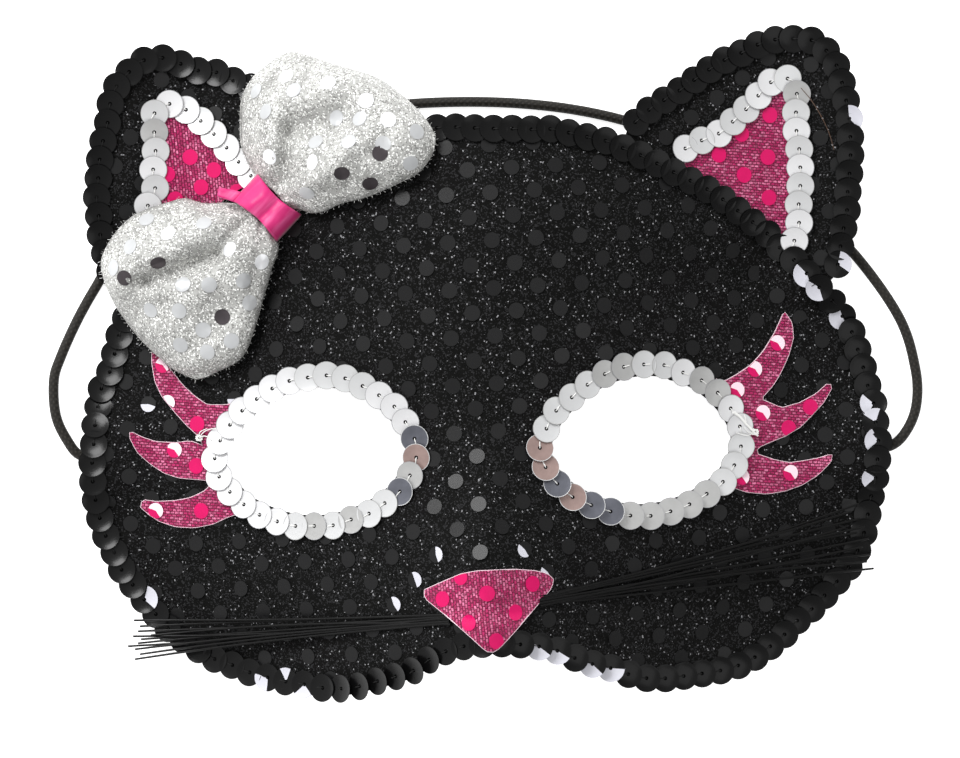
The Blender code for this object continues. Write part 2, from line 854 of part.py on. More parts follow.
def bow_loop(name, turn, sections, finish):
    """A folded loop of cloth: out along the mask, over at the far end and back to the knot."""
    start = KNOT_WIDTH / 2 + GAP
    rows = []
    for share, left, right, puff in sections:
        along = max(start, share * BOW_LOBE_LENGTH)
        rows.append((along, left * BOW_LOBE_HALF_WIDTH, right * BOW_LOBE_HALF_WIDTH, puff * BOW_PUFF))
    rows[0] = (start, *rows[0][1:])
    vertices = []

    def add(row, k, level, inset):
        along, left, right, puff = row
        t = k / LOBE_ACROSS
        across = left + (-right - left) * t
        p = bow_point(turn, along - inset, across)
        bend = 1.0 - (1.0 - LOBE_SIDE_SHARE) * (2 * t - 1) ** 2
        depth = max(puff * bend, 2 * BOW_CLOTH + 2 * GAP)
        rise = {"bottom": 0.0, "lining": BOW_CLOTH, "ceiling": depth - BOW_CLOTH, "top": depth}[level]
        vertices.append((p.x, p.y, mask_height(p.x, p.y) + BOW_CLEARANCE + rise))
        return len(vertices) - 1

    last = len(rows) - 1
    outer = []
    inner = []
    for k in range(LOBE_ACROSS + 1):
        outer.append(
            [add(r, k, "bottom", 0.0) for r in rows] + [add(r, k, "top", 0.0) for r in reversed(rows)]
        )
        shrink = [BOW_CLOTH if i == last else 0.0 for i in range(len(rows))]
        lining = [add(r, k, "lining", shrink[i]) for i, r in enumerate(rows)]
        ceiling = [add(r, k, "ceiling", shrink[i]) for i, r in enumerate(rows)]
        inner.append(lining + ceiling[::-1])
    faces = []
    path = len(outer[0])
    for k in range(LOBE_ACROSS):
        for j in range(path - 1):
            faces.append((outer[k][j], outer[k][j + 1], outer[k + 1][j + 1], outer[k + 1][j]))
            faces.append((inner[k][j], inner[k + 1][j], inner[k + 1][j + 1], inner[k][j + 1]))
        for j in (0, path - 1):
            quad = (outer[k][j], outer[k + 1][j], inner[k + 1][j], inner[k][j])
            faces.append(quad if j == 0 else quad[::-1])
    for k in (0, LOBE_ACROSS):
        for j in range(path - 1):
            quad = (outer[k][j], inner[k][j], inner[k][j + 1], outer[k][j + 1])
            faces.append(quad if k == 0 else quad[::-1])
    if turn:
        faces = [f[::-1] for f in faces]
    return solid(name, vertices, faces, finish)


def bow_knot(finish):
    """The satin band, a rounded block across the bow's axis."""
    base = mask_height(BOW_X, BOW_Y) + BOW_CLEARANCE
    vertices = []
    half_l, half_w = KNOT_LENGTH / 2, KNOT_WIDTH / 2
    for along in (-half_w, half_w):
        for side, up in KNOT_PROFILE:
            p = bow_point(0, along, side * half_l)
            tilt = mask_height(p.x, p.y) + BOW_CLEARANCE - base
            vertices.append((p.x, p.y, base + max(tilt, -KNOT_DROP) + up * KNOT_HEIGHT))
    n = len(KNOT_PROFILE)
    faces = [tuple(range(n - 1, -1, -1)), tuple(range(n, 2 * n))]
    for i in range(n):
        faces.append((i, (i + 1) % n, (i + 1) % n + n, i + n))
    return solid("bow_knot", vertices, faces, finish)


def elastic_cord(finish):
    """The elastic from anchor to anchor, laid on the surface."""
    left_end = (-CORD_INNER_X, CORD_LEFT_Y)
    right_end = (CORD_INNER_X, CORD_RIGHT_Y)
    line = smooth_route([left_end, *CORD_ROUTE, right_end], False)
    points = spaced(line, CORD_POINT_STEP, False)
    curve = bpy.data.curves.new("elastic_cord", "CURVE")
    curve.dimensions = "3D"
    curve.bevel_depth = CORD_DIAMETER / 2 * MM
    curve.bevel_resolution = 2
    curve.use_fill_caps = True
    spline = curve.splines.new("POLY")
    spline.points.add(len(points) - 1)
    for place, p in zip(spline.points, points):
        place.co = (p.x * MM, p.y * MM, CORD_DIAMETER / 2 * MM, 1.0)
    curve.materials.append(finish)
    obj = bpy.data.objects.new("elastic_cord", curve)
    bpy.context.scene.collection.objects.link(obj)
    return obj


def cord_anchor(name, side, y, finish):
    """A small tab inside the rim that the end of the elastic is fixed to."""
    outer = CORD_INNER_X - GAP
    inner = outer - ANCHOR_LENGTH
    low, high = y - ANCHOR_WIDTH / 2, y + ANCHOR_WIDTH / 2
    corners = [(inner, low), (outer, low), (outer, high), (inner, high)]
    vertices = [(side * x, cy, GAP) for x, cy in corners]
    vertices += [(side * x, cy, shell_under(side * x, cy) - GAP) for x, cy in corners]
    faces = [(3, 2, 1, 0), (4, 5, 6, 7)]
    faces += [(i, (i + 1) % 4, (i + 1) % 4 + 4, i + 4) for i in range(4)]
    if side < 0:
        faces = [f[::-1] for f in faces]
    return solid(name, vertices, faces, finish)


def build():
    for obj in list(bpy.data.objects):
        bpy.data.objects.remove(obj)

    black_felt = material("black_glitter_felt", (0.012, 0.012, 0.013), 0.85)
    black_sequin = material("black_sequin", (0.01, 0.01, 0.011), 0.18)
    silver_sequin = material("silver_sequin", (0.85, 0.85, 0.86), 0.12, 1.0)
    pink_knit = material("pink_knit", (0.42, 0.03, 0.13), 0.75)
    silver_cloth = material("silver_glitter_cloth", (0.6, 0.6, 0.58), 0.45, 0.3)
    satin = material("pink_satin", (0.75, 0.03, 0.22), 0.3)
    bristle = material("black_bristle", (0.01, 0.01, 0.01), 0.4)
    elastic = material("black_elastic", (0.015, 0.015, 0.014), 0.7)
    plain_tab = material("black_tab", (0.02, 0.02, 0.02), 0.6)

    rim = smooth_route([(a * RIM_HALF_WIDTH, b * FACE_HEIGHT) for a, b in RIM_ROUTE], True)
    rings = {"left": eye_ring(-1), "right": eye_ring(1)}
    build_face(black_felt, rings.values(), rim)
    rim_row = spaced(rim, SEQUIN_PITCH, True)
    sequin_string("rim_sequins", rim_row, True, black_sequin)

    ears = {
        "left": (-1, EAR_BLACK_LEFT, EAR_SILVER_LEFT),
        "right": (1, EAR_BLACK_RIGHT, EAR_SILVER_RIGHT),
    }
    row_clear = 2 * SEQUIN_RADIUS + GAP
    for name, (side, black_shares, silver_shares) in ears.items():
        black = ear_route(side, black_shares)
        silver = ear_route(side, silver_shares)
        ear_panel("ear_" + name, side, black, rim, black_felt)
        black_row = clear_of(spaced(black, SEQUIN_PITCH, False), rim_row, row_clear)
        sequin_string("ear_sequins_" + name, black_row, False, black_sequin)
        silver_row = clear_of(spaced(silver, SEQUIN_PITCH, False), rim_row, row_clear)
        sequin_string("ear_silver_" + name, silver_row, False, silver_sequin)
        ear_patch("ear_patch_" + name, side, silver, rim, pink_knit)

    for name, side, shares in (("left", -1, LASH_LEFT), ("right", 1, LASH_RIGHT)):
        row = spaced(rings[name], SEQUIN_PITCH, True)
        sequin_string("eye_ring_" + name, row, True, silver_sequin)
        lash_patch("lash_patch_" + name, side, shares, rings[name], pink_knit)

    nose_patch(pink_knit)
    whisker_fan("whiskers_left", *WHISKER_LEFT, bristle)
    whisker_fan("whiskers_right", *WHISKER_RIGHT, bristle)
    bow_loop("bow_loop_upper", 0, BOW_UPPER, silver_cloth)
    bow_loop("bow_loop_lower", 180, BOW_LOWER, silver_cloth)
    bow_knot(satin)
    elastic_cord(elastic)
    cord_anchor("cord_anchor_left", -1, CORD_LEFT_Y, plain_tab)
    cord_anchor("cord_anchor_right", 1, CORD_RIGHT_Y, plain_tab)


build()
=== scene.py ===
"""Looks of the cat half mask: felt, sequins, knit, bow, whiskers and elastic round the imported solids.

Lengths are in millimetres until a mesh is made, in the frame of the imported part: +X to the right of
the mask as seen from the front, +Y towards the ears, +Z out of the front. MM turns them into metres.
"""

from __future__ import annotations

import json
import logging
import math
import random
from dataclasses import dataclass, field
from enum import Enum
from typing import Callable, Iterable, Sequence

import bpy
from mathutils import Matrix, Vector
from mathutils.bvhtree import BVHTree
from mathutils.geometry import delaunay_2d_cdt

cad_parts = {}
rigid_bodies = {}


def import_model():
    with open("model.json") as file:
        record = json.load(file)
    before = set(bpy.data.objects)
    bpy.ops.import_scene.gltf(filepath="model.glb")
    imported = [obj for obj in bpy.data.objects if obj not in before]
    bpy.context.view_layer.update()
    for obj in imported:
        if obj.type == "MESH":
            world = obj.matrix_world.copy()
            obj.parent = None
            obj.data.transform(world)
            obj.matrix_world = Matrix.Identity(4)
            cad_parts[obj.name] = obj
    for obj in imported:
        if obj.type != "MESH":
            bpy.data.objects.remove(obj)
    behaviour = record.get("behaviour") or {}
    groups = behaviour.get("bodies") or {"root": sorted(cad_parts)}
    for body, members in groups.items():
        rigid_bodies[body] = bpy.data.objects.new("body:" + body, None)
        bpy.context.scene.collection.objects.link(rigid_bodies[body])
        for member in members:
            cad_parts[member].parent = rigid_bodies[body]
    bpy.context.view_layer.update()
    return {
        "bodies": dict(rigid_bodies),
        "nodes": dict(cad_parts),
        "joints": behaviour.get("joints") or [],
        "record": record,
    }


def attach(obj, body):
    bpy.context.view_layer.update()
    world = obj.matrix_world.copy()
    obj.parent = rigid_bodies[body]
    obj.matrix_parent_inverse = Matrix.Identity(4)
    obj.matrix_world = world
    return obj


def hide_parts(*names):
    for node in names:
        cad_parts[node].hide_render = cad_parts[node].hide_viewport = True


log = logging.getLogger("mask")

MM = 0.001
UP = Vector((0.0, 0.0, 1.0))
Pair = tuple[float, float]
Line = list[Vector]
Rise = Callable[[float, float], float]
Net = list[Line]
Faces = list[tuple[int, ...]]
Triple = tuple[float, float, float]
Colour = Triple
# Sectors of sequins with a painted highlight: pixel x and y, plan direction in degrees and half the angle
# of the sector painted as catching the light
Flashes = tuple[tuple[float, float, float, float], ...]
Socket = bpy.types.NodeSocket

# The photograph's scale and the pixel of the frame's origin, for things placed one by one
PIXEL = 0.2141
PIXEL_X = 485.5
PIXEL_Y = 361.4

# How near to an edge a filled sheet has points of its own: share of its triangles' size
EDGE_CLEAR = 0.55

BLACK = (0.0, 0.0, 0.0)
WHITE = (1.0, 1.0, 1.0)

# Rim sequin route, clockwise from the top: shares of half the rim's width and of the face's height
RIM_ROUTE = (
    (0.02, 0.414), (0.17, 0.412), (0.28, 0.397), (0.375, 0.374), (0.455, 0.345), (0.55, 0.31),
    (0.637, 0.272), (0.72, 0.224), (0.79, 0.175), (0.87, 0.118), (0.932, 0.057), (0.962, -0.013),
    (0.99, -0.09), (0.998, -0.18), (0.973, -0.275), (0.942, -0.345), (0.883, -0.407),
    (0.805, -0.46), (0.72, -0.513), (0.63, -0.548), (0.52, -0.563), (0.42, -0.565),
    (0.33, -0.551), (0.245, -0.532), (0.16, -0.51), (0.088, -0.501), (0.02, -0.498),
    (-0.05, -0.503), (-0.12, -0.52), (-0.195, -0.552), (-0.288, -0.572), (-0.37, -0.584),
    (-0.46, -0.578), (-0.56, -0.563), (-0.653, -0.543), (-0.733, -0.515), (-0.815, -0.474),
    (-0.885, -0.414), (-0.942, -0.352), (-0.978, -0.288), (-1.0, -0.217), (-0.995, -0.145),
    (-0.985, -0.067), (-0.958, -0.02), (-0.937, 0.03), (-0.92, 0.07), (-0.87, 0.118),
    (-0.79, 0.175), (-0.72, 0.224), (-0.637, 0.272), (-0.55, 0.31), (-0.455, 0.345),
    (-0.375, 0.37), (-0.25, 0.4), (-0.12, 0.414),
)

# Ear strings: share of the ear's base along it outwards, share of its height away from it
EAR_BLACK_RIGHT = (
    (-0.612, 0.1), (-0.6, 0.2), (-0.57, 0.34), (-0.53, 0.51), (-0.478, 0.7), (-0.392, 0.895),
    (-0.335, 0.96), (-0.26, 1.01), (-0.175, 1.004), (-0.095, 0.95), (-0.028, 0.88),
    (0.095, 0.725), (0.195, 0.555), (0.28, 0.39), (0.365, 0.21),
)
EAR_SILVER_RIGHT = (
    (-0.4, 0.165), (-0.34, 0.315), (-0.313, 0.484), (-0.306, 0.668), (-0.268, 0.775),
    (-0.19, 0.735), (-0.098, 0.596), (0.005, 0.46), (0.098, 0.308), (0.138, 0.238),
    (0.17, 0.16),
)
EAR_BLACK_LEFT = (
    (-0.62, 0.1), (-0.56, 0.3), (-0.44, 0.53), (-0.382, 0.684), (-0.326, 0.75),
    (-0.252, 0.914), (-0.2, 0.963), (-0.128, 0.981), (-0.057, 0.963), (0.008, 0.926),
    (0.076, 0.853), (0.21, 0.724), (0.315, 0.568), (0.405, 0.389), (0.455, 0.26),
)
EAR_SILVER_LEFT = (
    (-0.222, 0.17), (-0.218, 0.342), (-0.208, 0.518), (-0.178, 0.695), (-0.106, 0.739),
    (-0.043, 0.673), (0.0, 0.594), (0.053, 0.524), (0.094, 0.449), (0.158, 0.398),
    (0.23, 0.3), (0.27, 0.25),
)

# Eye ring, clockwise: share of half the ring's length and of half its height
EYE_RING = (
    (-1.0, -0.1), (-0.91, 0.24), (-0.74, 0.52), (-0.47, 0.8), (-0.13, 0.97), (0.23, 0.97),
    (0.57, 0.79), (0.83, 0.48), (0.98, 0.1), (0.94, -0.27), (0.74, -0.62), (0.4, -0.88),
    (0.02, -0.99), (-0.35, -0.93), (-0.7, -0.72), (-0.92, -0.43),
)

# Lash outlines in pixels of the photograph, from the upper root round the three points
LASH_RIGHT = (
    (716, 379), (723, 382), (736, 375), (751, 365), (763, 352), (775, 333), (785, 311),
    (793, 323), (794, 338), (789, 356), (781, 373), (773, 386), (761, 399), (782, 408),
    (800, 403), (817, 394), (829, 383), (834, 386), (825, 402), (813, 415), (801, 427),
    (786, 436), (773, 441), (757, 448), (757, 454), (775, 460), (790, 463), (805, 461),
    (821, 458), (833, 454), (832, 462), (819, 475), (803, 485), (786, 491), (767, 494),
    (746, 492), (728, 486), (722, 480),
)
LASH_LEFT = (
    (233, 403), (226, 405), (207, 405), (194, 396), (182, 385), (171, 371), (159, 356),
    (151, 351), (151, 363), (154, 381), (161, 396), (175, 413), (186, 425), (199, 437),
    (203, 446), (190, 441), (175, 443), (155, 442), (140, 437), (129, 431), (129, 438),
    (136, 452), (148, 463), (163, 473), (178, 478), (203, 480), (211, 481), (210, 486),
    (203, 492), (190, 498), (175, 501), (155, 502), (141, 500), (140, 508), (148, 515),
    (159, 522), (175, 527), (194, 528), (213, 524), (228, 517), (241, 511), (244, 506),
)
NOSE_OUTLINE = (
    (425, 588), (425, 596), (440, 608), (457, 622), (472, 635), (484, 646), (488, 648.5),
    (495, 648.5), (503, 641), (515, 628), (528, 613), (541, 598), (551, 586), (553, 578),
    (547, 572), (534, 569), (515, 567.5), (495, 568), (476, 569), (461, 572), (445, 579),
)

# Dots of the pink knit, in pixels
EAR_DOTS_RIGHT = ((770, 115), (741.5, 134), (718.5, 155), (768, 157), (744, 175), (769, 197.5))
EAR_DOTS_LEFT = ((190, 157), (167, 174), (201, 187), (175, 199), (237, 192), (214, 170))
NOSE_DOTS = (
    (461, 575), (443, 597), (487, 591), (532, 582), (515, 610), (469, 620), (496, 638),
)
LASH_DOTS_RIGHT = (
    (811, 407), (789, 428), (763, 413), (791, 473), (742, 477), (778, 343), (755, 369), (737, 390),
)
LASH_DOTS_LEFT = (
    (201, 511), (155, 511), (197, 424), (167, 403), (162, 365), (174, 450), (196, 466),
)
# Lash dots with a painted highlight, in pixels
LASH_FLASHES_RIGHT = ((778, 343), (755, 369), (737, 390), (763, 413), (742, 477), (791, 473))
LASH_FLASHES_LEFT = ((162, 365), (167, 403), (174, 450), (155, 511))

# Bow lobes: outlines in the lobe's own frame, along it and across it, in four chains
UPPER_LEFT = (
    (3.1, 5.6), (4.2, 9.4), (5.9, 13.0), (8.9, 16.2), (12.6, 19.4), (15.7, 20.8), (19.1, 21.3),
    (22.8, 20.7), (26.1, 20.0), (28.7, 18.2), (29.9, 15.6),
)
UPPER_FAR = (
    (29.9, 15.6), (31.2, 12.7), (33.0, 8.8), (34.9, 5.0), (36.4, 1.2), (37.0, -2.2),
    (37.2, -5.7), (37.1, -9.9), (36.5, -13.4), (35.6, -16.0),
)
UPPER_RIGHT = (
    (3.1, -3.4), (4.9, -6.2), (5.8, -8.1), (8.3, -9.8), (11.6, -11.2), (15.0, -13.6),
    (19.3, -15.7), (23.2, -17.3), (27.1, -18.7), (30.6, -18.6), (33.5, -17.7), (35.6, -16.0),
)
LOWER_LEFT = (
    (2.9, 4.2), (5.2, 7.3), (8.4, 10.6), (10.4, 14.3), (13.1, 16.2), (17.0, 18.4), (21.1, 20.1),
    (26.9, 20.3), (32.2, 18.8), (34.6, 16.4),
)
LOWER_FAR = (
    (34.6, 16.4), (36.2, 13.4), (37.6, 10.0), (38.5, 6.2), (39.2, 2.0), (39.4, -2.4),
    (39.3, -6.0), (39.0, -9.2), (37.4, -13.8),
)
LOWER_RIGHT = (
    (2.9, -3.6), (4.6, -7.6), (8.7, -9.5), (11.5, -11.0), (14.5, -12.4), (18.2, -14.4),
    (22.1, -16.2), (24.6, -17.3), (27.3, -17.8), (30.2, -17.2), (32.7, -16.1), (35.2, -15.2),
    (37.4, -13.8),
)

# Spangles of the bow's cloth, in pixels: pale ones, which get a lit or a shaded copy of one silver, and
# dark ones, which get its darkest copy: painted light and shade
UPPER_PALE = (
    (257, 92), (295, 92), (329, 85), (356, 77), (393, 96), (367, 103), (389, 122), (417, 134),
    (267, 113), (250, 134), (271, 158), (317, 144), (350, 144), (411, 165), (314, 164),
    (308, 194), (361, 121), (278, 63), (287, 78), (338, 120), (318, 57), (384, 146),
)
UPPER_DARK = ((381, 155), (343, 175), (371, 185))
LOWER_PALE = (
    (243, 211), (205, 224), (169, 234), (131, 247), (147, 220), (184, 206), (231, 250),
    (184, 285), (210, 285), (244, 281), (126, 304), (151, 310), (180, 311), (250, 303),
    (150, 336), (181, 345), (208, 352), (232, 341), (262, 262), (204, 330), (114, 268),
)
LOWER_DARK = ((197, 249), (159, 263), (125, 278), (223, 317))

# Elastic: its chosen route on the surface, from the left end to the right end
CORD_ROUTE = (
    (-81.6, -20.45), (-87.0, -20.2), (-89.9, -17.0), (-92.4, -11.5), (-92.8, -4.0),
    (-91.3, 1.0), (-87.9, 8.6), (-83.9, 15.8), (-78.2, 24.8), (-68.0, 34.5), (-53.0, 44.8),
    (-36.0, 51.8), (-17.0, 55.3), (7.0, 55.5), (28.0, 52.3), (48.0, 45.2), (65.0, 36.0),
    (78.2, 24.3), (88.7, 9.9), (92.4, -1.5), (92.6, -9.5), (90.3, -15.2), (86.9, -18.2),
    (81.6, -18.42),
)


class Side(Enum):
    """The mask's left and right, as the photograph shows them."""

    LEFT = -1
    RIGHT = 1

    @property
    def word(self) -> str:
        """The side's name as it ends a node's name."""
        return self.name.lower()


def at_pixel(x: float, y: float) -> Vector:
    """The place in the mask's plan, in millimetres, of a pixel of the photograph."""
    return Vector(((x - PIXEL_X) * PIXEL, (PIXEL_Y - y) * PIXEL))


def smoothstep(low: float, high: float, value: float) -> float:
    """A smooth step.

    Args:
        low: where it starts from 0.
        high: where it ends at 1.
        value: the place.

    Returns:
        The step's height there.
    """
    t = min(1.0, max(0.0, (value - low) / (high - low)))
    return t * t * (3.0 - 2.0 * t)


def smooth_route(points: Sequence[Pair], closed: bool, step: float = 0.5) -> Line:
    """A Catmull-Rom curve through the points.

    Args:
        points: the places that the curve passes through, in plan.
        closed: whether the last point joins the first.
        step: the spacing of the points that come back.

    Returns:
        The curve as closely spaced points.
    """
    n = len(points)
    ends = list(points) if closed else [points[0], *points, points[-1]]
    out: Line = []
    for i in range(n) if closed else range(1, n):
        a, b, c, d = (Vector(ends[(i + k - 1) % len(ends)]) for k in range(4))
        count = max(2, math.ceil((c - b).length / step))
        for k in range(count):
            t = k / count
            cubic = (b - c) * 3 + d - a
            square = a * 2 - b * 5 + c * 4 - d
            out.append((b * 2 + (c - a) * t + square * t * t + cubic * t**3) / 2)
    if not closed:
        out.append(Vector(points[-1]))
    return out


def spaced(line: Line, pitch: float, closed: bool, count: int = 0) -> Line:
    """Points at equal distances along a line.

    Args:
        line: the line's points.
        pitch: the wanted distance, used where no count is given.
        closed: whether the line is a loop.
        count: how many steps there are, or 0 to take it from the pitch.

    Returns:
        The points, the last one left out on a loop.
    """
    loop = [*line, line[0]] if closed else line
    along = [0.0]
    for a, b in zip(loop, loop[1:]):
        along.append(along[-1] + (b - a).length)
    count = count or max(2, round(along[-1] / pitch))
    out: Line = []
    i = 0
    for k in range(count if closed else count + 1):
        at = min(along[-1] * k / count, along[-1] - 1e-6)
        while along[i + 1] < at:
            i += 1
        share = (at - along[i]) / (along[i + 1] - along[i])
        out.append(loop[i].lerp(loop[i + 1], share))
    return out


def offset(line: Line, distance: float, closed: bool) -> Line:
    """The line moved sideways, to the left of its direction where the distance is positive."""
    out: Line = []
    n = len(line)
    for i, p in enumerate(line):
        a = line[i - 1] if closed or i > 0 else p
        b = line[(i + 1) % n] if closed or i < n - 1 else p
        d = (b - a).normalized()
        out.append(p + Vector((-d.y, d.x)) * distance)
    return out


def stretch_between(line: Line, start: Vector, end: Vector) -> Line:
    """The shorter way round a closed line, from the place nearest start to that nearest end."""
    a, b = (min(range(len(line)), key=lambda i: (line[i] - p).length) for p in (start, end))
    n = len(line)
    forward = (b - a) % n
    if forward <= n - forward:
        return [line[(a + k) % n] for k in range(forward + 1)]
    return [line[(a - k) % n] for k in range(n - forward + 1)]


def inside(point: Vector, polygon: Line) -> bool:
    """Whether a point of the plan lies in a polygon."""
    x, y = point
    found = False
    for a, b in zip(polygon, [*polygon[1:], polygon[0]]):
        if (a.y > y) != (b.y > y) and x < (b.x - a.x) * (y - a.y) / (b.y - a.y) + a.x:
            found = not found
    return found


def clear_of(centres: Line, row: Line, distance: float) -> Line:
    """The centres that stay clear of another row."""
    return [c for c in centres if min((c - r).length for r in row) > distance]


def polygon_area(loop: Line) -> float:
    """The plan area of a loop, in square millimetres."""
    pairs = zip(loop, [*loop[1:], loop[0]])
    return abs(sum(a.x * b.y - b.x * a.y for a, b in pairs)) / 2


@dataclass(frozen=True)
class Relief:
    """The height of the felt's front over the surface that the mask lies on."""

    rim_half_width: float = 84.4
    face_height: float = 119.6
    edge_beyond: float = 1.5
    rim_flat: float = 1.4
    rim_edge: float = 1.0
    face_depth: float = 30.0
    widest_y: float = -17.5
    side_reach: float = 39.8
    side_pull: float = 0.2085
    ear_half_width: float = 82.0
    ear_start_y: float = 12.0
    ear_full_y: float = 32.0
    round_share: float = 0.3
    roll_start_y: float = 20.0
    roll_length: float = 30.0
    forehead_roll: float = 0.15
    ear_lift: float = 4.6
    ear_lift_start_y: float = 9.0
    ear_lift_length: float = 8.0
    ear_tilt: float = 0.1
    nose_height: float = 9.0
    nose_width: float = 12.0
    nose_ridge: float = 3.0
    nose_top_y: float = -12.0
    nose_full_y: float = -46.0
    eye_spacing: float = 69.6
    eye_y: float = -18.0
    socket_depth: float = 2.0
    socket_width: float = 24.0
    socket_height: float = 17.0
    cord_lift: float = 3.7
    cord_lift_length: float = 9.0
    cord_left_y: float = -20.45
    cord_right_y: float = -18.42
    roll_most: float = 1.5
    lift_from: float = 0.75
    lift_to: float = 0.97
    tilt_from: float = 0.4
    tilt_to: float = 0.95
    arch_from: float = 0.82
    arch_to: float = 0.99

    def half_width(self, y: float) -> float:
        """Half of the width at which the relief comes down to the rim."""
        pull = self.side_pull * math.tanh(((y - self.widest_y) / self.side_reach) ** 2)
        face = (self.rim_half_width + self.edge_beyond) * (1.0 - pull) - self.rim_flat
        ears = smoothstep(self.ear_start_y, self.ear_full_y, y)
        return face + (self.ear_half_width - face) * ears

    def nose(self, x: float, y: float) -> float:
        """How far the nose stands out."""
        ridge = math.sqrt(x * x + self.nose_ridge**2) - self.nose_ridge
        along = smoothstep(-self.nose_top_y, -self.nose_full_y, -y)
        return self.nose_height * along * math.exp(-ridge / self.nose_width)

    def socket(self, x: float, y: float) -> float:
        """How deep the eye sockets are."""
        across = (abs(x) - self.eye_spacing / 2) / self.socket_width
        up = (y - self.eye_y) / self.socket_height
        return self.socket_depth * math.exp(-across * across - up * up)

    def arch(self, x: float, y: float) -> float:
        """The rim's two small arches over the elastic."""
        middle = self.cord_left_y if x < 0 else self.cord_right_y
        return self.cord_lift * math.exp(-(((y - middle) / self.cord_lift_length) ** 4))

    def height(self, x: float, y: float) -> float:
        """The height of the front at a place of the plan."""
        s = min(1.0, abs(x) / self.half_width(y))
        flare = math.cos(math.pi / 2 * s) ** 2
        side = self.round_share * (1.0 - s * s) + (1.0 - self.round_share) * flare
        over = max(0.0, (y - self.roll_start_y) / self.roll_length)
        roll = 1.0 - self.forehead_roll * min(over, self.roll_most) ** 2
        start = self.ear_lift_start_y + self.ear_lift_length
        lift = self.ear_lift * smoothstep(self.ear_lift_start_y, start, y)
        lift *= smoothstep(self.lift_from, self.lift_to, s)
        tilt = self.ear_tilt * max(0.0, y - start)
        lift += tilt * smoothstep(self.tilt_from, self.tilt_to, s)
        lift += self.arch(x, y) * smoothstep(self.arch_from, self.arch_to, s)
        dome = self.rim_edge + self.face_depth * side * roll
        return dome + lift + self.nose(x, y) - self.socket(x, y)

    def normal(self, x: float, y: float, reach: float = 1.2) -> Vector:
        """The direction out of the front, smoothed over a small reach."""
        dx = self.height(x + reach, y) - self.height(x - reach, y)
        dy = self.height(x, y + reach) - self.height(x, y - reach)
        return Vector((-dx, -dy, 2 * reach)).normalized()


def linked(name: str, data: bpy.types.ID) -> bpy.types.Object:
    """Makes an object of some data and links it to the scene."""
    obj = bpy.data.objects.new(name, data)
    bpy.context.scene.collection.objects.link(obj)
    return obj


@dataclass
class Draft:
    """A mesh as it is drawn up: its corners in millimetres, its faces and their finishes."""

    corners: Line = field(default_factory=list)
    faces: Faces = field(default_factory=list)
    looks: list[int] = field(default_factory=list)

    def add(self, corners: Iterable[Vector], faces: Faces, look: int = 0) -> None:
        """Adds a lot of faces of one finish over their own corners.

        Args:
            corners: the new corners.
            faces: the faces, counted from the first new corner.
            look: the finish's place in the object's list of materials.
        """
        self.add_lots(corners, [(look, faces)])

    def add_lots(self, corners: Iterable[Vector], lots: Iterable[tuple[int, Faces]]) -> None:
        """Adds lots of faces that share their corners, each lot with its own finish.

        Args:
            corners: the new corners.
            lots: each lot's finish, by its place in the list of materials, and its faces.
        """
        first = len(self.corners)
        self.corners += [Vector(c) for c in corners]
        for look, faces in lots:
            for f in faces:
                self.faces.append(tuple(first + i for i in f))
                self.looks.append(look)

    def tube(self, path: Sequence[Vector], radius: float, sides: int = 6, look: int = 0,
             taper: float = 1.0) -> None:
        """Adds a closed round tube.

        Args:
            path: the tube's middle line.
            radius: its radius at the start.
            sides: how many sides it has.
            look: the finish's place in the list of materials.
            taper: the end's radius as a share of the start's.
        """
        corners: Line = []
        n = len(path)
        for i, p in enumerate(path):
            d = (path[min(i + 1, n - 1)] - path[max(i - 1, 0)]).normalized()
            side = d.cross(UP if abs(d.z) < 0.9 else Vector((1.0, 0.0, 0.0))).normalized()
            other = d.cross(side)
            r = radius * (1.0 + (taper - 1.0) * i / (n - 1))
            for k in range(sides):
                a = math.tau * k / sides
                corners.append(p + (side * math.cos(a) + other * math.sin(a)) * r)
        faces: Faces = [tuple(range(sides))[::-1]]
        for i in range(n - 1):
            for k in range(sides):
                a, b = i * sides + k, i * sides + (k + 1) % sides
                faces.append((a, b, b + sides, a + sides))
        faces.append(tuple(range((n - 1) * sides, n * sides)))
        self.add(corners, faces, look)

    def build(self, name: str, finishes: Sequence[bpy.types.Material],
              sharp: float = 40.0) -> bpy.types.Object:
        """Makes the object.

        Args:
            name: the piece's name.
            finishes: its materials, in the order that the looks count.
            sharp: the angle in degrees from which an edge stays sharp.

        Returns:
            The new object, linked to the scene.
        """
        mesh = bpy.data.meshes.new(name)
        mesh.from_pydata([c * MM for c in self.corners], [], self.faces)
        for finish in finishes:
            mesh.materials.append(finish)
        mesh.polygons.foreach_set("material_index", self.looks)
        mesh.shade_smooth()
        mesh.set_sharp_from_angle(angle=math.radians(sharp))
        mesh.update()
        return linked(name, mesh)


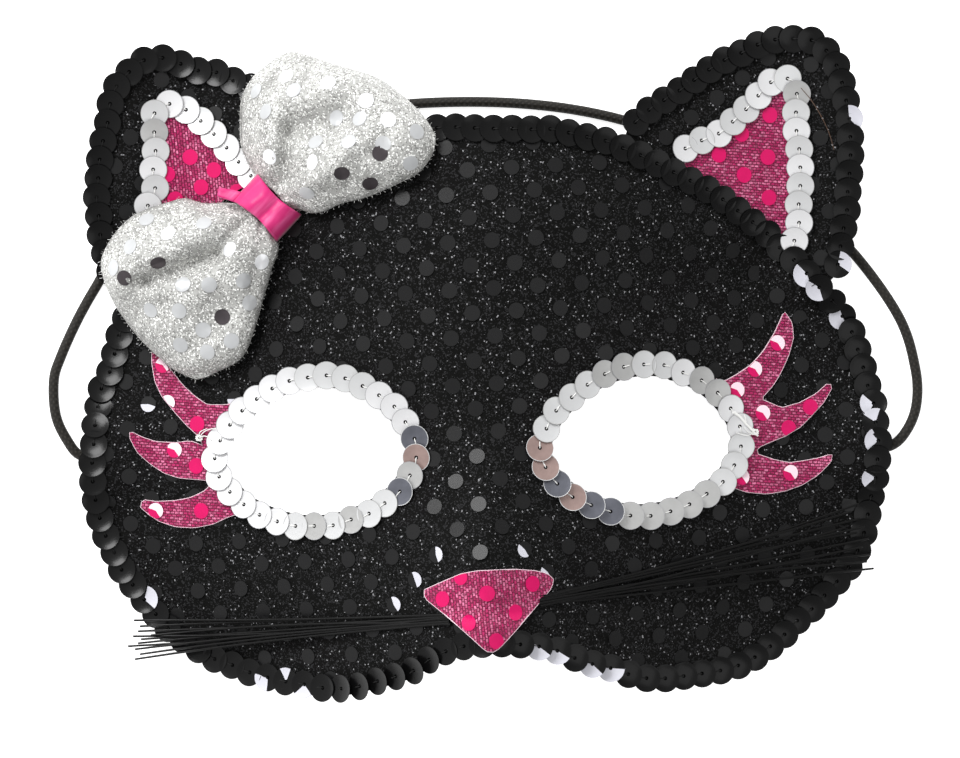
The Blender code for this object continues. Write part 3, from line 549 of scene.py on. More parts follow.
def plan_mesh(outline: Line, holes: Sequence[Line], grid: float) -> tuple[Line, Faces]:
    """Fills an outline with nearly even triangles.

    Args:
        outline: the outer edge.
        holes: the edges of its holes.
        grid: the triangles' size.

    Returns:
        The plan's points and the triangles, all turned the same way.
    """
    points: Line = []
    edges: list[tuple[int, int]] = []
    for loop in (outline, *holes):
        first, n = len(points), len(loop)
        points += loop
        edges += [(first + i, first + (i + 1) % n) for i in range(n)]
    border: dict[tuple[int, int], Line] = {}
    for p in points:
        border.setdefault((math.floor(p.x / grid), math.floor(p.y / grid)), []).append(p)
    low = Vector((min(p.x for p in outline), min(p.y for p in outline)))
    high = Vector((max(p.x for p in outline), max(p.y for p in outline)))
    row = grid * math.sqrt(3) / 2
    for j in range(math.ceil((high.y - low.y) / row) + 1):
        for i in range(math.ceil((high.x - low.x) / grid) + 1):
            p = Vector((low.x + (i + 0.5 * (j % 2)) * grid, low.y + j * row))
            cx, cy = math.floor(p.x / grid), math.floor(p.y / grid)
            cells = [(cx + a, cy + b) for a in (-1, 0, 1) for b in (-1, 0, 1)]
            near = [q for cell in cells for q in border.get(cell, ())]
            if any((p - q).length < EDGE_CLEAR * grid for q in near):
                continue
            if inside(p, outline) and not any(inside(p, h) for h in holes):
                points.append(p)
    plan, _, triangles, *_ = delaunay_2d_cdt(points, edges, [], 0, 1e-5)
    kept = []
    for t in triangles:
        a, b, c = (plan[i] for i in t)
        centre = (a + b + c) / 3
        turn = (b - a).cross(c - a)
        if abs(turn) > 1e-6 and inside(centre, outline):
            if not any(inside(centre, h) for h in holes):
                kept.append(tuple(t) if turn > 0 else tuple(reversed(t)))
    return plan, kept


def add_sheet(draft: Draft, outline: Line, holes: Sequence[Line], grid: float, top: Rise,
              under: Rise, looks: tuple[int, int, int] = (0, 0, 0)) -> None:
    """Adds a sheet between two heights, with a rounded upper edge.

    Args:
        draft: the mesh that it joins.
        outline: its edge.
        holes: the edges of its holes.
        grid: the triangles' size.
        top: the height of its front.
        under: the height of its back.
        looks: the finishes of the front, the cut edge and the back.
    """
    plan, kept = plan_mesh(outline, holes, grid)
    n = len(plan)
    corners = [Vector((p.x, p.y, top(p.x, p.y))) for p in plan]
    corners += [Vector((p.x, p.y, under(p.x, p.y))) for p in plan]
    used = {(a, b) for t in kept for a, b in zip(t, (t[1], t[2], t[0]))}
    walls: Faces = []
    for a, b in used:
        if (b, a) not in used:
            walls.append((b, a, a + n, b + n))
    back = [tuple(i + n for i in reversed(t)) for t in kept]
    draft.add_lots(corners, zip(looks, (kept, walls, back)))


@dataclass
class Nodes:
    """A material's node tree, with short ways to add and join its nodes."""

    name: str
    material: bpy.types.Material = field(init=False)

    def __post_init__(self) -> None:
        """Makes the material with the shader and the output that a new one has."""
        self.material = bpy.data.materials.new(self.name)
        self.material.use_nodes = True

    @property
    def shader(self) -> bpy.types.Node:
        """The surface shader."""
        return self.material.node_tree.nodes["Principled BSDF"]

    def set(self, **values: object) -> None:
        """Sets plain values on the shader's sockets, spaces in their names written as underscores."""
        for key, value in values.items():
            self.shader.inputs[key.replace("_", " ")].default_value = value

    def add(self, kind: str, inputs: dict[str, object] | None = None,
            **settings: object) -> bpy.types.Node:
        """Adds a node.

        Args:
            kind: the node's type, without its first word.
            inputs: values of its inputs, or outputs of other nodes to join to them.
            settings: its own settings.

        Returns:
            The node.
        """
        node = self.material.node_tree.nodes.new("ShaderNode" + kind)
        for key, value in settings.items():
            setattr(node, key, value)
        for key, value in (inputs or {}).items():
            socket = node.inputs[int(key)] if key.isdigit() else node.inputs[key]
            if isinstance(value, Socket):
                self.material.node_tree.links.new(value, socket)
            else:
                socket.default_value = value
        return node

    def join(self, output: Socket, socket: str) -> None:
        """Joins an output to one of the shader's sockets."""
        self.material.node_tree.links.new(output, self.shader.inputs[socket])

    def place(self) -> Socket:
        """The place on the object, in metres."""
        return self.add("TexCoord").outputs["Object"]

    def turned(self, degrees: float) -> Socket:
        """The place on the object, turned round the upright axis."""
        turn = (0.0, 0.0, math.radians(degrees))
        return self.add("Mapping", {"Vector": self.place(), "Rotation": turn}).outputs["Vector"]

    def ramp(self, value: Socket, stops: Sequence[tuple[float, tuple[float, ...]]],
             steps: bool = False) -> Socket:
        """Turns a number into colours.

        Args:
            value: the number.
            stops: places from 0 to 1 and their colours.
            steps: whether each colour holds up to the next place.

        Returns:
            The colour.
        """
        node = self.add("ValToRGB", {"Fac": value})
        node.color_ramp.interpolation = "CONSTANT" if steps else "LINEAR"
        while len(node.color_ramp.elements) < len(stops):
            node.color_ramp.elements.new(0.5)
        for element, (at, colour) in zip(node.color_ramp.elements, stops):
            element.position = at
            element.color = (*colour, 1.0)
        return node.outputs["Color"]

    def mix(self, share: object, a: object, b: object, how: str = "MIX") -> Socket:
        """Mixes two colours, by a number or another colour's brightness."""
        node = self.add("Mix", data_type="RGBA", blend_type=how)
        for socket, value in ((0, share), (6, a), (7, b)):
            if isinstance(value, Socket):
                self.material.node_tree.links.new(value, node.inputs[socket])
            elif isinstance(value, float):
                node.inputs[socket].default_value = value
            else:
                node.inputs[socket].default_value = (*value, 1.0)
        return node.outputs[2]

    def bump(self, height: Socket, strength: float, distance: float,
             normal: Socket | None = None) -> Socket:
        """Raises the surface by a height.

        Args:
            height: the height, from 0 to 1.
            strength: how much of it is used.
            distance: its size in millimetres.
            normal: an earlier bump to build on.

        Returns:
            The bumped normal.
        """
        inputs: dict[str, object] = {"Height": height, "Strength": strength}
        inputs["Distance"] = distance * MM
        if normal is not None:
            inputs["Normal"] = normal
        return self.add("Bump", inputs).outputs["Normal"]


@dataclass(frozen=True)
class GlitterCloth:
    """Knit cloth with fine glitter, each fleck of its own shade and tilt."""

    name: str
    ground: Colour
    fleck: Colour
    bright: Colour
    fleck_share: float
    bright_share: float
    grain: float = 0.42
    roughness: float = 0.6
    specular: float = 0.15
    metallic: float = 0.0
    deep: float = 0.45
    pale: float = 1.5
    cloud_scale: float = 260.0
    knit_scale: float = 2600.0
    knit_bump: Pair = (0.6, 0.25)
    fleck_bump: Pair = (0.5, 0.2)

    def make(self) -> bpy.types.Material:
        """The material."""
        n = Nodes(self.name)
        place = n.place()
        cells = n.add("TexVoronoi", {"Vector": place, "Scale": 1.0 / (self.grain * MM)})
        parts = n.add("SeparateColor", {"Color": cells.outputs["Color"]})
        tone, second = parts.outputs[0], parts.outputs[1]
        cloud = n.add("TexNoise", {"Vector": place, "Scale": self.cloud_scale, "Detail": 3.0})
        dark = tuple(c * self.deep for c in self.ground)
        base = n.mix(cloud.outputs["Fac"], dark, tuple(c * self.pale for c in self.ground))
        fleck_at = 1.0 - self.fleck_share
        flecks = n.ramp(tone, ((0.0, BLACK), (fleck_at, WHITE)), True)
        with_flecks = n.mix(flecks, base, self.fleck)
        bright_at = 1.0 - self.bright_share
        brights = n.ramp(second, ((0.0, BLACK), (bright_at, WHITE)), True)
        n.join(n.mix(brights, with_flecks, self.bright), "Base Color")
        n.set(Roughness=self.roughness, Specular_IOR_Level=self.specular, Metallic=self.metallic)
        knit = n.add("TexNoise", {"Vector": place, "Scale": self.knit_scale, "Detail": 2.0})
        grainy = n.bump(knit.outputs["Fac"], *self.knit_bump)
        n.join(n.bump(tone, *self.fleck_bump, grainy), "Normal")
        return n.material


@dataclass(frozen=True)
class KnitWeave:
    """Fine metallic knit: rows of small bright stitches over dark gaps."""

    name: str
    turn: float
    stitch: Colour = (0.4, 0.015, 0.105)
    pale: Colour = (0.72, 0.19, 0.35)
    gap: Colour = (0.12, 0.003, 0.03)
    width: float = 0.95
    row: float = 0.6
    gap_width: float = 0.13
    pale_from: float = 0.35
    wobble: float = 0.00028
    wobble_scale: float = 900.0
    fine_scale: float = 2400.0
    worn: tuple[Pair, ...] = ((0.36, 0.45), (0.62, 1.15))
    raised: Pair = (0.7, 0.2)

    def make(self) -> bpy.types.Material:
        """The material."""
        n = Nodes(self.name)
        place = n.turned(self.turn)
        wobble = n.add("TexNoise", {"Vector": place, "Scale": self.wobble_scale, "Detail": 1.0})
        reach = {"0": wobble.outputs["Color"], "1": (self.wobble,) * 3}
        shift = n.add("VectorMath", reach, operation="MULTIPLY")
        bent = n.add("VectorMath", {"0": place, "1": shift.outputs["Vector"]}, operation="ADD")
        flat = n.add("Mapping", {"Vector": bent.outputs["Vector"], "Scale": (1.0, 1.0, 0.0)})
        bricks = n.add(
            "TexBrick",
            {
                "Vector": flat.outputs["Vector"],
                "Color1": (*BLACK, 1.0),
                "Color2": (*WHITE, 1.0),
                "Mortar": (*BLACK, 1.0),
                "Scale": 1.0,
                "Mortar Size": self.gap_width * MM,
                "Mortar Smooth": 1.0,
                "Brick Width": self.width * MM,
                "Row Height": self.row * MM,
            },
        )
        stops = ((0.0, self.stitch), (self.pale_from, self.stitch), (1.0, self.pale))
        tone = n.ramp(bricks.outputs["Color"], stops)
        fine = n.add("TexNoise", {"Vector": place, "Scale": self.fine_scale, "Detail": 2.0})
        worn = n.ramp(fine.outputs["Fac"], [(at, (shade,) * 3) for at, shade in self.worn])
        coloured = n.mix(1.0, tone, worn, "MULTIPLY")
        n.join(n.mix(bricks.outputs["Fac"], coloured, self.gap), "Base Color")
        n.set(Roughness=0.5, Specular_IOR_Level=0.3)
        up = n.add("Math", {"0": 1.0, "1": bricks.outputs["Fac"]}, operation="SUBTRACT")
        n.join(n.bump(up.outputs["Value"], *self.raised), "Normal")
        return n.material


@dataclass(frozen=True)
class Gloss:
    """A smooth finish with fine scratches and a little unevenness in its shade."""

    name: str
    colour: Colour
    roughness: float = 0.2
    metallic: float = 0.0
    specular: float = 0.5
    patchy: float = 0.15
    grain: float = 0.02
    coat: float = 0.0
    cloud_scale: float = 420.0
    fine_scale: float = 3500.0
    fine_bump: float = 0.3

    def make(self) -> bpy.types.Material:
        """The material."""
        n = Nodes(self.name)
        place = n.place()
        cloud = n.add("TexNoise", {"Vector": place, "Scale": self.cloud_scale, "Detail": 3.0})
        low = tuple(c * (1.0 - self.patchy) for c in self.colour)
        high = tuple(min(1.0, c * (1.0 + self.patchy)) for c in self.colour)
        n.join(n.mix(cloud.outputs["Fac"], low, high), "Base Color")
        n.set(Roughness=self.roughness, Metallic=self.metallic, Specular_IOR_Level=self.specular,
              Coat_Weight=self.coat)
        fine = n.add("TexNoise", {"Vector": place, "Scale": self.fine_scale, "Detail": 2.0})
        n.join(n.bump(fine.outputs["Fac"], self.fine_bump, self.grain), "Normal")
        return n.material


@dataclass(frozen=True)
class Satin:
    """Ribbon with fine ribs across it, a soft silky shine and pale streaks of painted sheen in its colour.
    """

    name: str
    colour: Colour
    turn: float
    painted_sheen: Colour = (0.9, 0.2, 0.45)
    deep: float = 0.85
    rib_scale: float = 1500.0
    sheen_scale: Colour = (60.0, 420.0, 60.0)
    sheen_stops: tuple[Pair, ...] = ((0.5, 0.0), (0.72, 0.6))
    rib_bump: Pair = (0.25, 0.03)

    def make(self) -> bpy.types.Material:
        """The material."""
        n = Nodes(self.name)
        place = n.turned(self.turn)
        ribs = n.add("TexWave", {"Vector": place, "Scale": self.rib_scale, "Distortion": 0.6},
                     wave_type="BANDS", bands_direction="X")
        deep = tuple(c * self.deep for c in self.colour)
        sheen_place = n.add("Mapping", {"Vector": place, "Scale": self.sheen_scale})
        # Pale stretched streaks mixed into the colour: painted sheen
        painted_sheen = n.add("TexNoise", {"Vector": sheen_place.outputs["Vector"], "Scale": 1.0, "Detail": 3.0})
        pale = n.ramp(painted_sheen.outputs["Fac"], [(at, (share,) * 3) for at, share in self.sheen_stops])
        # Darker where the ribs lie low: painted shade between the ribs
        plain = n.mix(ribs.outputs["Fac"], deep, self.colour)
        n.join(n.mix(pale, plain, self.painted_sheen), "Base Color")
        n.set(Roughness=0.46, Specular_IOR_Level=0.5, Sheen_Weight=0.2, Sheen_Roughness=0.4)
        n.join(n.bump(ribs.outputs["Fac"], *self.rib_bump), "Normal")
        return n.material


@dataclass(frozen=True)
class BraidedElastic:
    """Round elastic with a fine braid, which follows the tube's own map."""

    name: str
    colour: Colour = (0.014, 0.012, 0.009)
    around: float = 12.0
    along: float = 420.0
    strand: float = 0.32
    # Shares of the colour for the painted shade in the braid's grooves and the painted highlight on its
    # strands
    deep: float = 0.6
    pale: float = 1.8
    raised: Pair = (0.6, 0.12)

    def make(self) -> bpy.types.Material:
        """The material."""
        n = Nodes(self.name)
        uv = n.add("TexCoord").outputs["UV"]
        heights = []
        for lean in (1.0, -1.0):
            scale = (self.along, self.around * lean, 0.0)
            turned = n.add("Mapping", {"Vector": uv, "Scale": scale})
            wave = n.add("TexWave", {"Vector": turned.outputs["Vector"], "Scale": self.strand},
                         wave_type="BANDS", bands_direction="DIAGONAL")
            heights.append(wave.outputs["Fac"])
        braid = n.mix(1.0, heights[0], heights[1], "MULTIPLY")
        # Darker where the braid lies low and paler where it stands high: painted shade and highlight
        low = tuple(c * self.deep for c in self.colour)
        high = tuple(c * self.pale for c in self.colour)
        n.join(n.mix(braid, low, high), "Base Color")
        n.set(Roughness=0.62, Specular_IOR_Level=0.3)
        n.join(n.bump(braid, *self.raised), "Normal")
        return n.material


@dataclass(frozen=True)
class CupSequin:
    """One cupped sequin with a hole: its sizes and how to add it to a draft."""

    radius: float = 3.0
    hole: float = 0.42
    cup: float = 0.34
    thickness: float = 0.09
    sides: int = 28
    edge: float = 0.13
    profile: tuple[Pair, ...] = ((1.0, 0.02), (1.9, 0.31), (2.5, 0.64))
    edge_rise: float = 0.93

    def add(self, draft: Draft, centre: Vector, axes: Matrix, looks: tuple[int, int, int],
            flash: tuple[Vector, float] | None = None) -> None:
        """Adds the sequin.

        Args:
            draft: the mesh that it joins.
            centre: where its hole is.
            axes: its own axes, the third one out of its front.
            looks: its finishes: the plain one, the painted highlight of the sector in the light and that
                of its edge ring, on silver sequins a painted shadow or highlight.
            flash: the plan direction of the sector painted as catching the light and half its angle in
                degrees, if any does.
        """
        c = self.cup
        rings = [(self.hole, 0.0), *((r, rise * c) for r, rise in self.profile),
                 (self.radius - self.edge, self.edge_rise * c), (self.radius, c)]
        corners: Line = []
        for level in (self.thickness / 2, -self.thickness / 2):
            for r, up in rings:
                for k in range(self.sides):
                    a = math.tau * k / self.sides
                    local = Vector((r * math.cos(a), r * math.sin(a), up + level))
                    corners.append(centre + axes @ local)
        n, m = self.sides, len(rings)
        plain: Faces = []
        lit: Faces = []
        edge: Faces = []
        way, half = flash if flash is not None else (Vector((1.0, 0.0)), 0.0)
        within = math.cos(math.radians(half))
        back = m * n
        for j in range(m - 1):
            for k in range(n):
                a, b = j * n + k, j * n + (k + 1) % n
                face = (a, b, b + n, a + n)[::-1]
                away = ((corners[a + n] + corners[b + n]) / 2 - centre).to_2d().normalized()
                shown = flash is not None and away.dot(way) > within
                outer = edge if j == m - 2 else plain
                (lit if shown else outer).append(face)
                plain.append((a + back, b + back, b + n + back, a + n + back))
        for j in (0, m - 1):
            for k in range(n):
                a, b = j * n + k, j * n + (k + 1) % n
                wall = (a, b, b + back, a + back)
                (plain if j == 0 else edge).append(wall if j == 0 else wall[::-1])
        draft.add_lots(corners, zip(looks, (plain, lit, edge)))


@dataclass(frozen=True)
class FlatSpangle:
    """A flat round disc pressed on the cloth."""

    radius: float = 1.7
    thickness: float = 0.1
    sides: int = 20
    lit_from: float = 0.1
    least_reach: float = 0.1
    cut_step: float = 0.12

    def add(self, draft: Draft, centre: Vector, axes: Matrix, look: int, within: Line | None = None,
            flash: Vector | None = None, lit: int = 0, cloth: Rise | None = None) -> None:
        """Adds the disc.

        Args:
            draft: the mesh that it joins.
            centre: its middle.
            axes: its own axes.
            look: its finish.
            within: an outline in plan that cuts it off, where it is at the cloth's edge.
            flash: the plan direction of the part painted as catching the light, if any does.
            lit: the finish of that part, a painted highlight.
            cloth: the height of the cloth that it follows, if it bends with it.
        """
        rim: Line = []
        for k in range(self.sides):
            a = math.tau * k / self.sides
            reach = self.radius
            step = axes @ Vector((math.cos(a), math.sin(a), 0.0))
            spot = centre + step * reach
            while within is not None and reach > self.least_reach and not inside(spot.to_2d(), within):
                reach -= self.cut_step
                spot = centre + step * reach
            if cloth is not None:
                spot.z = cloth(spot.x, spot.y)
            rim.append(spot)
        up = axes @ UP * self.thickness
        corners = [centre + up, *(p + up for p in rim), *rim, centre]
        n = self.sides
        lots: dict[int, Faces] = {look: [], lit: []}
        for k in range(n):
            a, b = 1 + k, 1 + (k + 1) % n
            middle = (rim[k] + rim[(k + 1) % n]) / 2 - centre
            ahead = middle.x * flash.x + middle.y * flash.y if flash is not None else -self.radius
            shown = flash is not None and ahead > self.lit_from * self.radius
            lots[lit if shown else look].append((0, a, b))
            lots[look] += [(b, a, a + n, b + n), (2 * n + 1, b + n, a + n)]
        draft.add_lots(corners, lots.items())


def leaning_axes(normal: Vector, along: Vector, pitch: float, roll: float = 0.0) -> Matrix:
    """Axes of a disc that lies on a surface and leans along a direction.

    Args:
        normal: the way out of the surface.
        along: the plan direction that the disc's first axis follows.
        pitch: degrees by which its rear is raised.
        roll: degrees by which its left is raised.

    Returns:
        The rotation from the disc's own axes.
    """
    u = Vector((along.x, along.y, 0.0))
    u = (u - normal * u.dot(normal)).normalized()
    v = normal.cross(u)
    turn = Matrix.Rotation(math.radians(pitch), 3, v) @ Matrix.Rotation(math.radians(roll), 3, u)
    frame = Matrix((u, v, normal)).transposed()
    return turn @ frame


class Wardrobe:
    """All finishes of the mask, made once."""

    def __init__(self) -> None:
        """Makes every material."""
        self.felt = GlitterCloth(
            "black glitter knit", (0.0032, 0.0032, 0.003), (0.02, 0.02, 0.021), (0.25, 0.25, 0.26),
            0.24, 0.018, grain=0.27, roughness=0.75, specular=0.08,
        ).make()
        self.felt_back = Gloss("black felt back", (0.008, 0.008, 0.008), 0.95, specular=0.06,
                               patchy=0.5, grain=0.2).make()
        self.spangle = Gloss("black spangle", (0.007, 0.007, 0.0073), 0.34, specular=0.22).make()
        self.sequin = Gloss("black sequin", (0.0028, 0.0028, 0.0029), 0.22, specular=0.19).make()
        # A pale copy of the sequins for the sectors that catch the light: a painted highlight
        self.flash = Gloss("sequin in the light", (0.6, 0.6, 0.66), 0.4, patchy=0.06).make()
        # Painted light on the silver sequins: one plain silver with its lit, shaded and darkest copies,
        # given to each sequin in turn by the strings' tables
        self.silver = Gloss("silver sequin", (0.6, 0.605, 0.61), 0.38, 0.35, patchy=0.04).make()
        self.silver_bright = Gloss("silver sequin in the light", (0.7, 0.7, 0.71), 0.42, 0.3,
                                   patchy=0.03).make()
        self.silver_shaded = Gloss("silver sequin in shade", (0.43, 0.43, 0.425), 0.36, 0.4,
                                 patchy=0.12).make()
        self.silver_deep_shade = Gloss("silver sequin in the dark", (0.13, 0.135, 0.16), 0.3, 0.6,
                                 patchy=0.35).make()
        # A painted pink reflection for some silver sequins
        self.silver_pink_reflection = Gloss("silver sequin, painted pink reflection", (0.33, 0.235, 0.215), 0.32, 0.5, patchy=0.3).make()
        # A painted shadow for the edge ring of the lit and shaded silver sequins
        self.silver_edge_shadow = Gloss("silver sequin's painted edge shadow", (0.38, 0.38, 0.39), 0.4, 0.4, patchy=0.1).make()
        self.knit_flat = KnitWeave("pink knit across", 4.0).make()
        self.knit_steep = KnitWeave("pink knit upright", 84.0).make()
        self.dot = Gloss("pink dot", (0.6, 0.003, 0.11), 0.42, specular=0.2, patchy=0.1).make()
        # A painted highlight on the pink dots that catch the light
        self.dot_lit = Gloss("pink dot in the light", (0.95, 0.72, 0.8), 0.3, patchy=0.03).make()
        self.cut_edge = Gloss("cut edge", (0.78, 0.6, 0.66), 0.8, specular=0.1, grain=0.1).make()
        self.bow_cloth = GlitterCloth(
            "silver glitter cloth", (0.44, 0.44, 0.425), (0.22, 0.22, 0.21), (0.9, 0.9, 0.88),
            0.2, 0.17, grain=0.27, roughness=0.6, specular=0.2,
        ).make()
        # Lit, shaded and darkest copies of one silver for the bow's spangles: painted light and shade
        self.bow_spangle = Gloss("silver spangle", (0.86, 0.87, 0.89), 0.28, 0.3, patchy=0.05).make()
        self.bow_spangle_shaded = Gloss("silver spangle in shade", (0.52, 0.53, 0.54), 0.4, 0.3,
                                      patchy=0.12).make()
        self.bow_spangle_deep_shade = Gloss("silver spangle in the dark", (0.07, 0.06, 0.065), 0.25, 0.6,
                                      patchy=0.7).make()
        self.satin = Satin("pink satin", (0.68, 0.012, 0.18), -47.0).make()
        self.bristle = Gloss("black bristle", (0.003, 0.003, 0.003), 0.4, specular=0.18).make()
        self.elastic = BraidedElastic("black elastic").make()
        self.thread_black = Gloss("black thread", (0.01, 0.01, 0.01), 0.6, specular=0.2).make()
        self.thread_white = Gloss("white thread", (0.8, 0.8, 0.78), 0.5).make()
        self.nylon = Gloss("brown nylon", (0.09, 0.05, 0.03), 0.3).make()
        self.tab = Gloss("plain tab", (0.02, 0.02, 0.02), 0.5).make()


@dataclass
class Mask:
    """What the mask's pieces share: the relief, the finishes, the routes and the sequins' spacing."""

    relief: Relief
    wardrobe: Wardrobe
    pitch: float = 4.0
    string_lift: float = 0.78
    eye_ring_length: float = 43.6
    eye_ring_height: float = 32.4
    eye_shift_x: float = -1.4
    eye_tilt_y: float = 1.2
    ear_base: float = 54.0
    ear_height: float = 42.0
    ear_base_share: float = 0.65
    ear_base_turn: float = 39.5
    ear_middle_up: float = 0.222
    rim: Line = field(init=False)

    def __post_init__(self) -> None:
        """Works out the rim's route."""
        r = self.relief
        points = [(a * r.rim_half_width, b * r.face_height) for a, b in RIM_ROUTE]
        self.rim = smooth_route(points, True)

    def eye_centre(self, side: Side) -> Vector:
        """The middle of an eye."""
        x = side.value * self.relief.eye_spacing / 2 + self.eye_shift_x
        return Vector((x, self.relief.eye_y + side.value * self.eye_tilt_y))

    def eye_ring(self, side: Side) -> Line:
        """The route of the sequins round an eye."""
        c = self.eye_centre(side)
        half = Vector((self.eye_ring_length / 2, self.eye_ring_height / 2))
        return smooth_route([(c.x + a * half.x, c.y + b * half.y) for a, b in EYE_RING], True)

    def ear_route(self, side: Side, shares: Sequence[Pair]) -> Line:
        """The route of a string on an ear.

        Args:
            side: which ear.
            shares: its points, as shares of the ear's base and height.

        Returns:
            The smooth route.
        """
        s = side.value
        r = self.relief
        middle = Vector((s * self.ear_base_share * r.rim_half_width, self.ear_middle_up * r.face_height))
        turn = math.radians(-self.ear_base_turn)
        along = Vector((s * math.cos(turn), math.sin(turn)))
        away = Vector((-s * math.sin(turn), math.cos(turn)))
        points = [middle + along * a * self.ear_base + away * h * self.ear_height for a, h in shares]
        return smooth_route(points, False)


def dress(obj: bpy.types.Object, slot: str, *nodes: str) -> bpy.types.Object:
    """Lets a piece ride on the mask and hides the nodes that it stands for."""
    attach(obj, "root")
    if nodes:
        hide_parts(*nodes)
    log.info("%s: %d faces", obj.name, len(obj.data.polygons) if obj.type == "MESH" else 0)
    return obj


def thickened(obj: bpy.types.Object, thickness: float, inward: float) -> bpy.types.Object:
    """Gives a skin a thickness, as its own mesh.

    Args:
        obj: the piece.
        thickness: its thickness.
        inward: where the skin lies in it, from -1 at the outer side to 1 at the inner one.

    Returns:
        The same piece.
    """
    thick = obj.modifiers.new("cloth", "SOLIDIFY")
    thick.thickness = thickness * MM
    thick.offset = inward
    graph = bpy.context.evaluated_depsgraph_get()
    mesh = bpy.data.meshes.new_from_object(obj.evaluated_get(graph))
    obj.modifiers.clear()
    obj.data = mesh
    mesh.shade_smooth()
    return obj


def net_faces(rows: int, columns: int) -> Faces:
    """The faces of a net of points, row after row."""
    corners = [i * (columns + 1) + j for i in range(rows) for j in range(columns)]
    return [(q, q + 1, q + columns + 2, q + columns + 1) for q in corners]


@dataclass
class FeltShell:
    """The moulded felt of the face and the two ears, covered with glitter knit."""

    mask: Mask
    wall: float = 1.8
    grid: float = 2.0
    edge_pitch: float = 1.6
    eye_hole_inset: float = 2.4
    gap: float = 0.35

    def under(self, x: float, y: float) -> float:
        """The height of the felt's back."""
        return max(0.0, self.mask.relief.height(x, y) - self.wall)

    def face_outline(self) -> Line:
        """The face's cut edge."""
        return spaced(offset(self.mask.rim, self.mask.relief.edge_beyond, True), self.edge_pitch, True)

    def eye_hole(self, side: Side) -> Line:
        """The cut edge of an eye opening."""
        return spaced(offset(self.mask.eye_ring(side), -self.eye_hole_inset, True), self.edge_pitch, True)

    def ear_outline(self, side: Side) -> Line:
        """The cut edge of an ear, along its string and then along the face's edge."""
        s = side.value
        m = self.mask
        shares = EAR_BLACK_RIGHT if side is Side.RIGHT else EAR_BLACK_LEFT
        edge = offset(m.ear_route(side, shares), s * m.relief.edge_beyond, False)
        base = offset(m.rim, m.relief.edge_beyond + self.gap, True)
        back = stretch_between(base, edge[-1], edge[0])
        outline = [*spaced(edge, self.edge_pitch, False), *spaced(back, self.edge_pitch, False)]
        return outline[::-1] if s > 0 else outline

    def build(self) -> None:
        """Makes the face and both ears."""
        height = self.mask.relief.height
        felt = [self.mask.wardrobe.felt, self.mask.wardrobe.felt_back]
        looks = (0, 1, 1)
        draft = Draft()
        holes = [self.eye_hole(side) for side in Side]
        add_sheet(draft, self.face_outline(), holes, self.grid, height, self.under, looks)
        dress(draft.build("felt_face", felt), "black_glitter_felt", "face_shell")
        for side in Side:
            draft = Draft()
            add_sheet(draft, self.ear_outline(side), [], self.grid, height, self.under, looks)
            piece = draft.build("felt_ear_" + side.word, felt)
            dress(piece, "black_glitter_felt", "ear_" + side.word)


@dataclass
class FeltSpangles:
    """The flat round spangles of the black knit, in slanting rows."""

    mask: Mask
    shell: FeltShell
    spangle: FlatSpangle = FlatSpangle()
    along: Pair = (9.34, 0.56)
    down: Pair = (-4.5, -5.35)
    face_start: Pair = (-3.5, 30.5)
    lift: float = 0.1
    edge_clearance: float = 1.2
    reach: int = 26
    lean: float = 3.0
    ear_turn: float = 12.0
    ear_start_left: Pair = (115, 166)
    ear_start_right: Pair = (691, 118)
    flash_reach: float = 5.0
    seed: int = 4
    # Spangles with a painted highlight: pixel x and y and the plan direction, in degrees, of the part
    # painted as catching the light
    bright: tuple[Triple, ...] = (
        (564, 583, 250), (542, 557, 215), (522, 531, 215), (400, 608, 30), (418, 587, 20),
        (436, 557, 10), (223, 391, 260), (147, 402, 260), (860, 250, 120),
    )

    def rows(self, start: Vector, along: Vector, down: Vector, outline: Line,
             holes: Sequence[Line]) -> Line:
        """The lattice points that lie on the cloth.

        Args:
            start: one spangle's place.
            along: the step in a row.
            down: the step to the next row.
            outline: the cloth's edge.
            holes: the edges of its holes.

        Returns:
            The places, clear of the cut edges.
        """
        out: Line = []
        loops = [p for loop in (outline, *holes) for p in loop]
        for j in range(-self.reach, self.reach):
            for i in range(-self.reach, self.reach):
                p = start + along * i + down * j
                if not inside(p, outline) or any(inside(p, h) for h in holes):
                    continue
                if min((p - q).length for q in loops) > self.edge_clearance:
                    out.append(p)
        return out

    def build(self) -> None:
        """Makes the spangles of the face and of both ears, each lot one piece."""
        chance = random.Random(self.seed)
        w = self.mask.wardrobe
        flashes = [(at_pixel(x, y), math.radians(a)) for x, y, a in self.bright]
        lots: dict[str, Line] = {
            "face": self.rows(Vector(self.face_start), Vector(self.along), Vector(self.down),
                              self.shell.face_outline(), [self.shell.eye_hole(s) for s in Side]),
        }
        for side in Side:
            turn = Matrix.Rotation(math.radians(-self.ear_turn * side.value), 2)
            start = at_pixel(*(self.ear_start_right if side is Side.RIGHT else self.ear_start_left))
            along, down = turn @ Vector(self.along), turn @ Vector(self.down)
            lots["ear_" + side.word] = self.rows(start, along, down, self.shell.ear_outline(side), [])
        for name, places in lots.items():
            draft = Draft()
            outline = self.shell.face_outline() if name == "face" else None
            lit = {min(range(len(places)), key=lambda i: (places[i] - p).length): (p, a)
                   for p, a in flashes if min((q - p).length for q in places) < self.flash_reach}
            for i, p in enumerate(places):
                normal = self.mask.relief.normal(p.x, p.y)
                axes = leaning_axes(normal, Vector((1.0, 0.0)), chance.gauss(0.0, self.lean),
                                    chance.gauss(0.0, self.lean))
                spot = Vector((p.x, p.y, self.mask.relief.height(p.x, p.y))) + normal * self.lift
                flash = None
                if i in lit:
                    flash = Vector((math.cos(lit[i][1]), math.sin(lit[i][1])))
                self.spangle.add(draft, spot, axes, 0, outline, flash, 1)
            dress(draft.build("spangles_" + name, [w.spangle, w.flash]), "black_glitter_felt")


class Finish(Enum):
    """The finish of a sequin string."""

    BLACK = "black"
    SILVER = "silver"


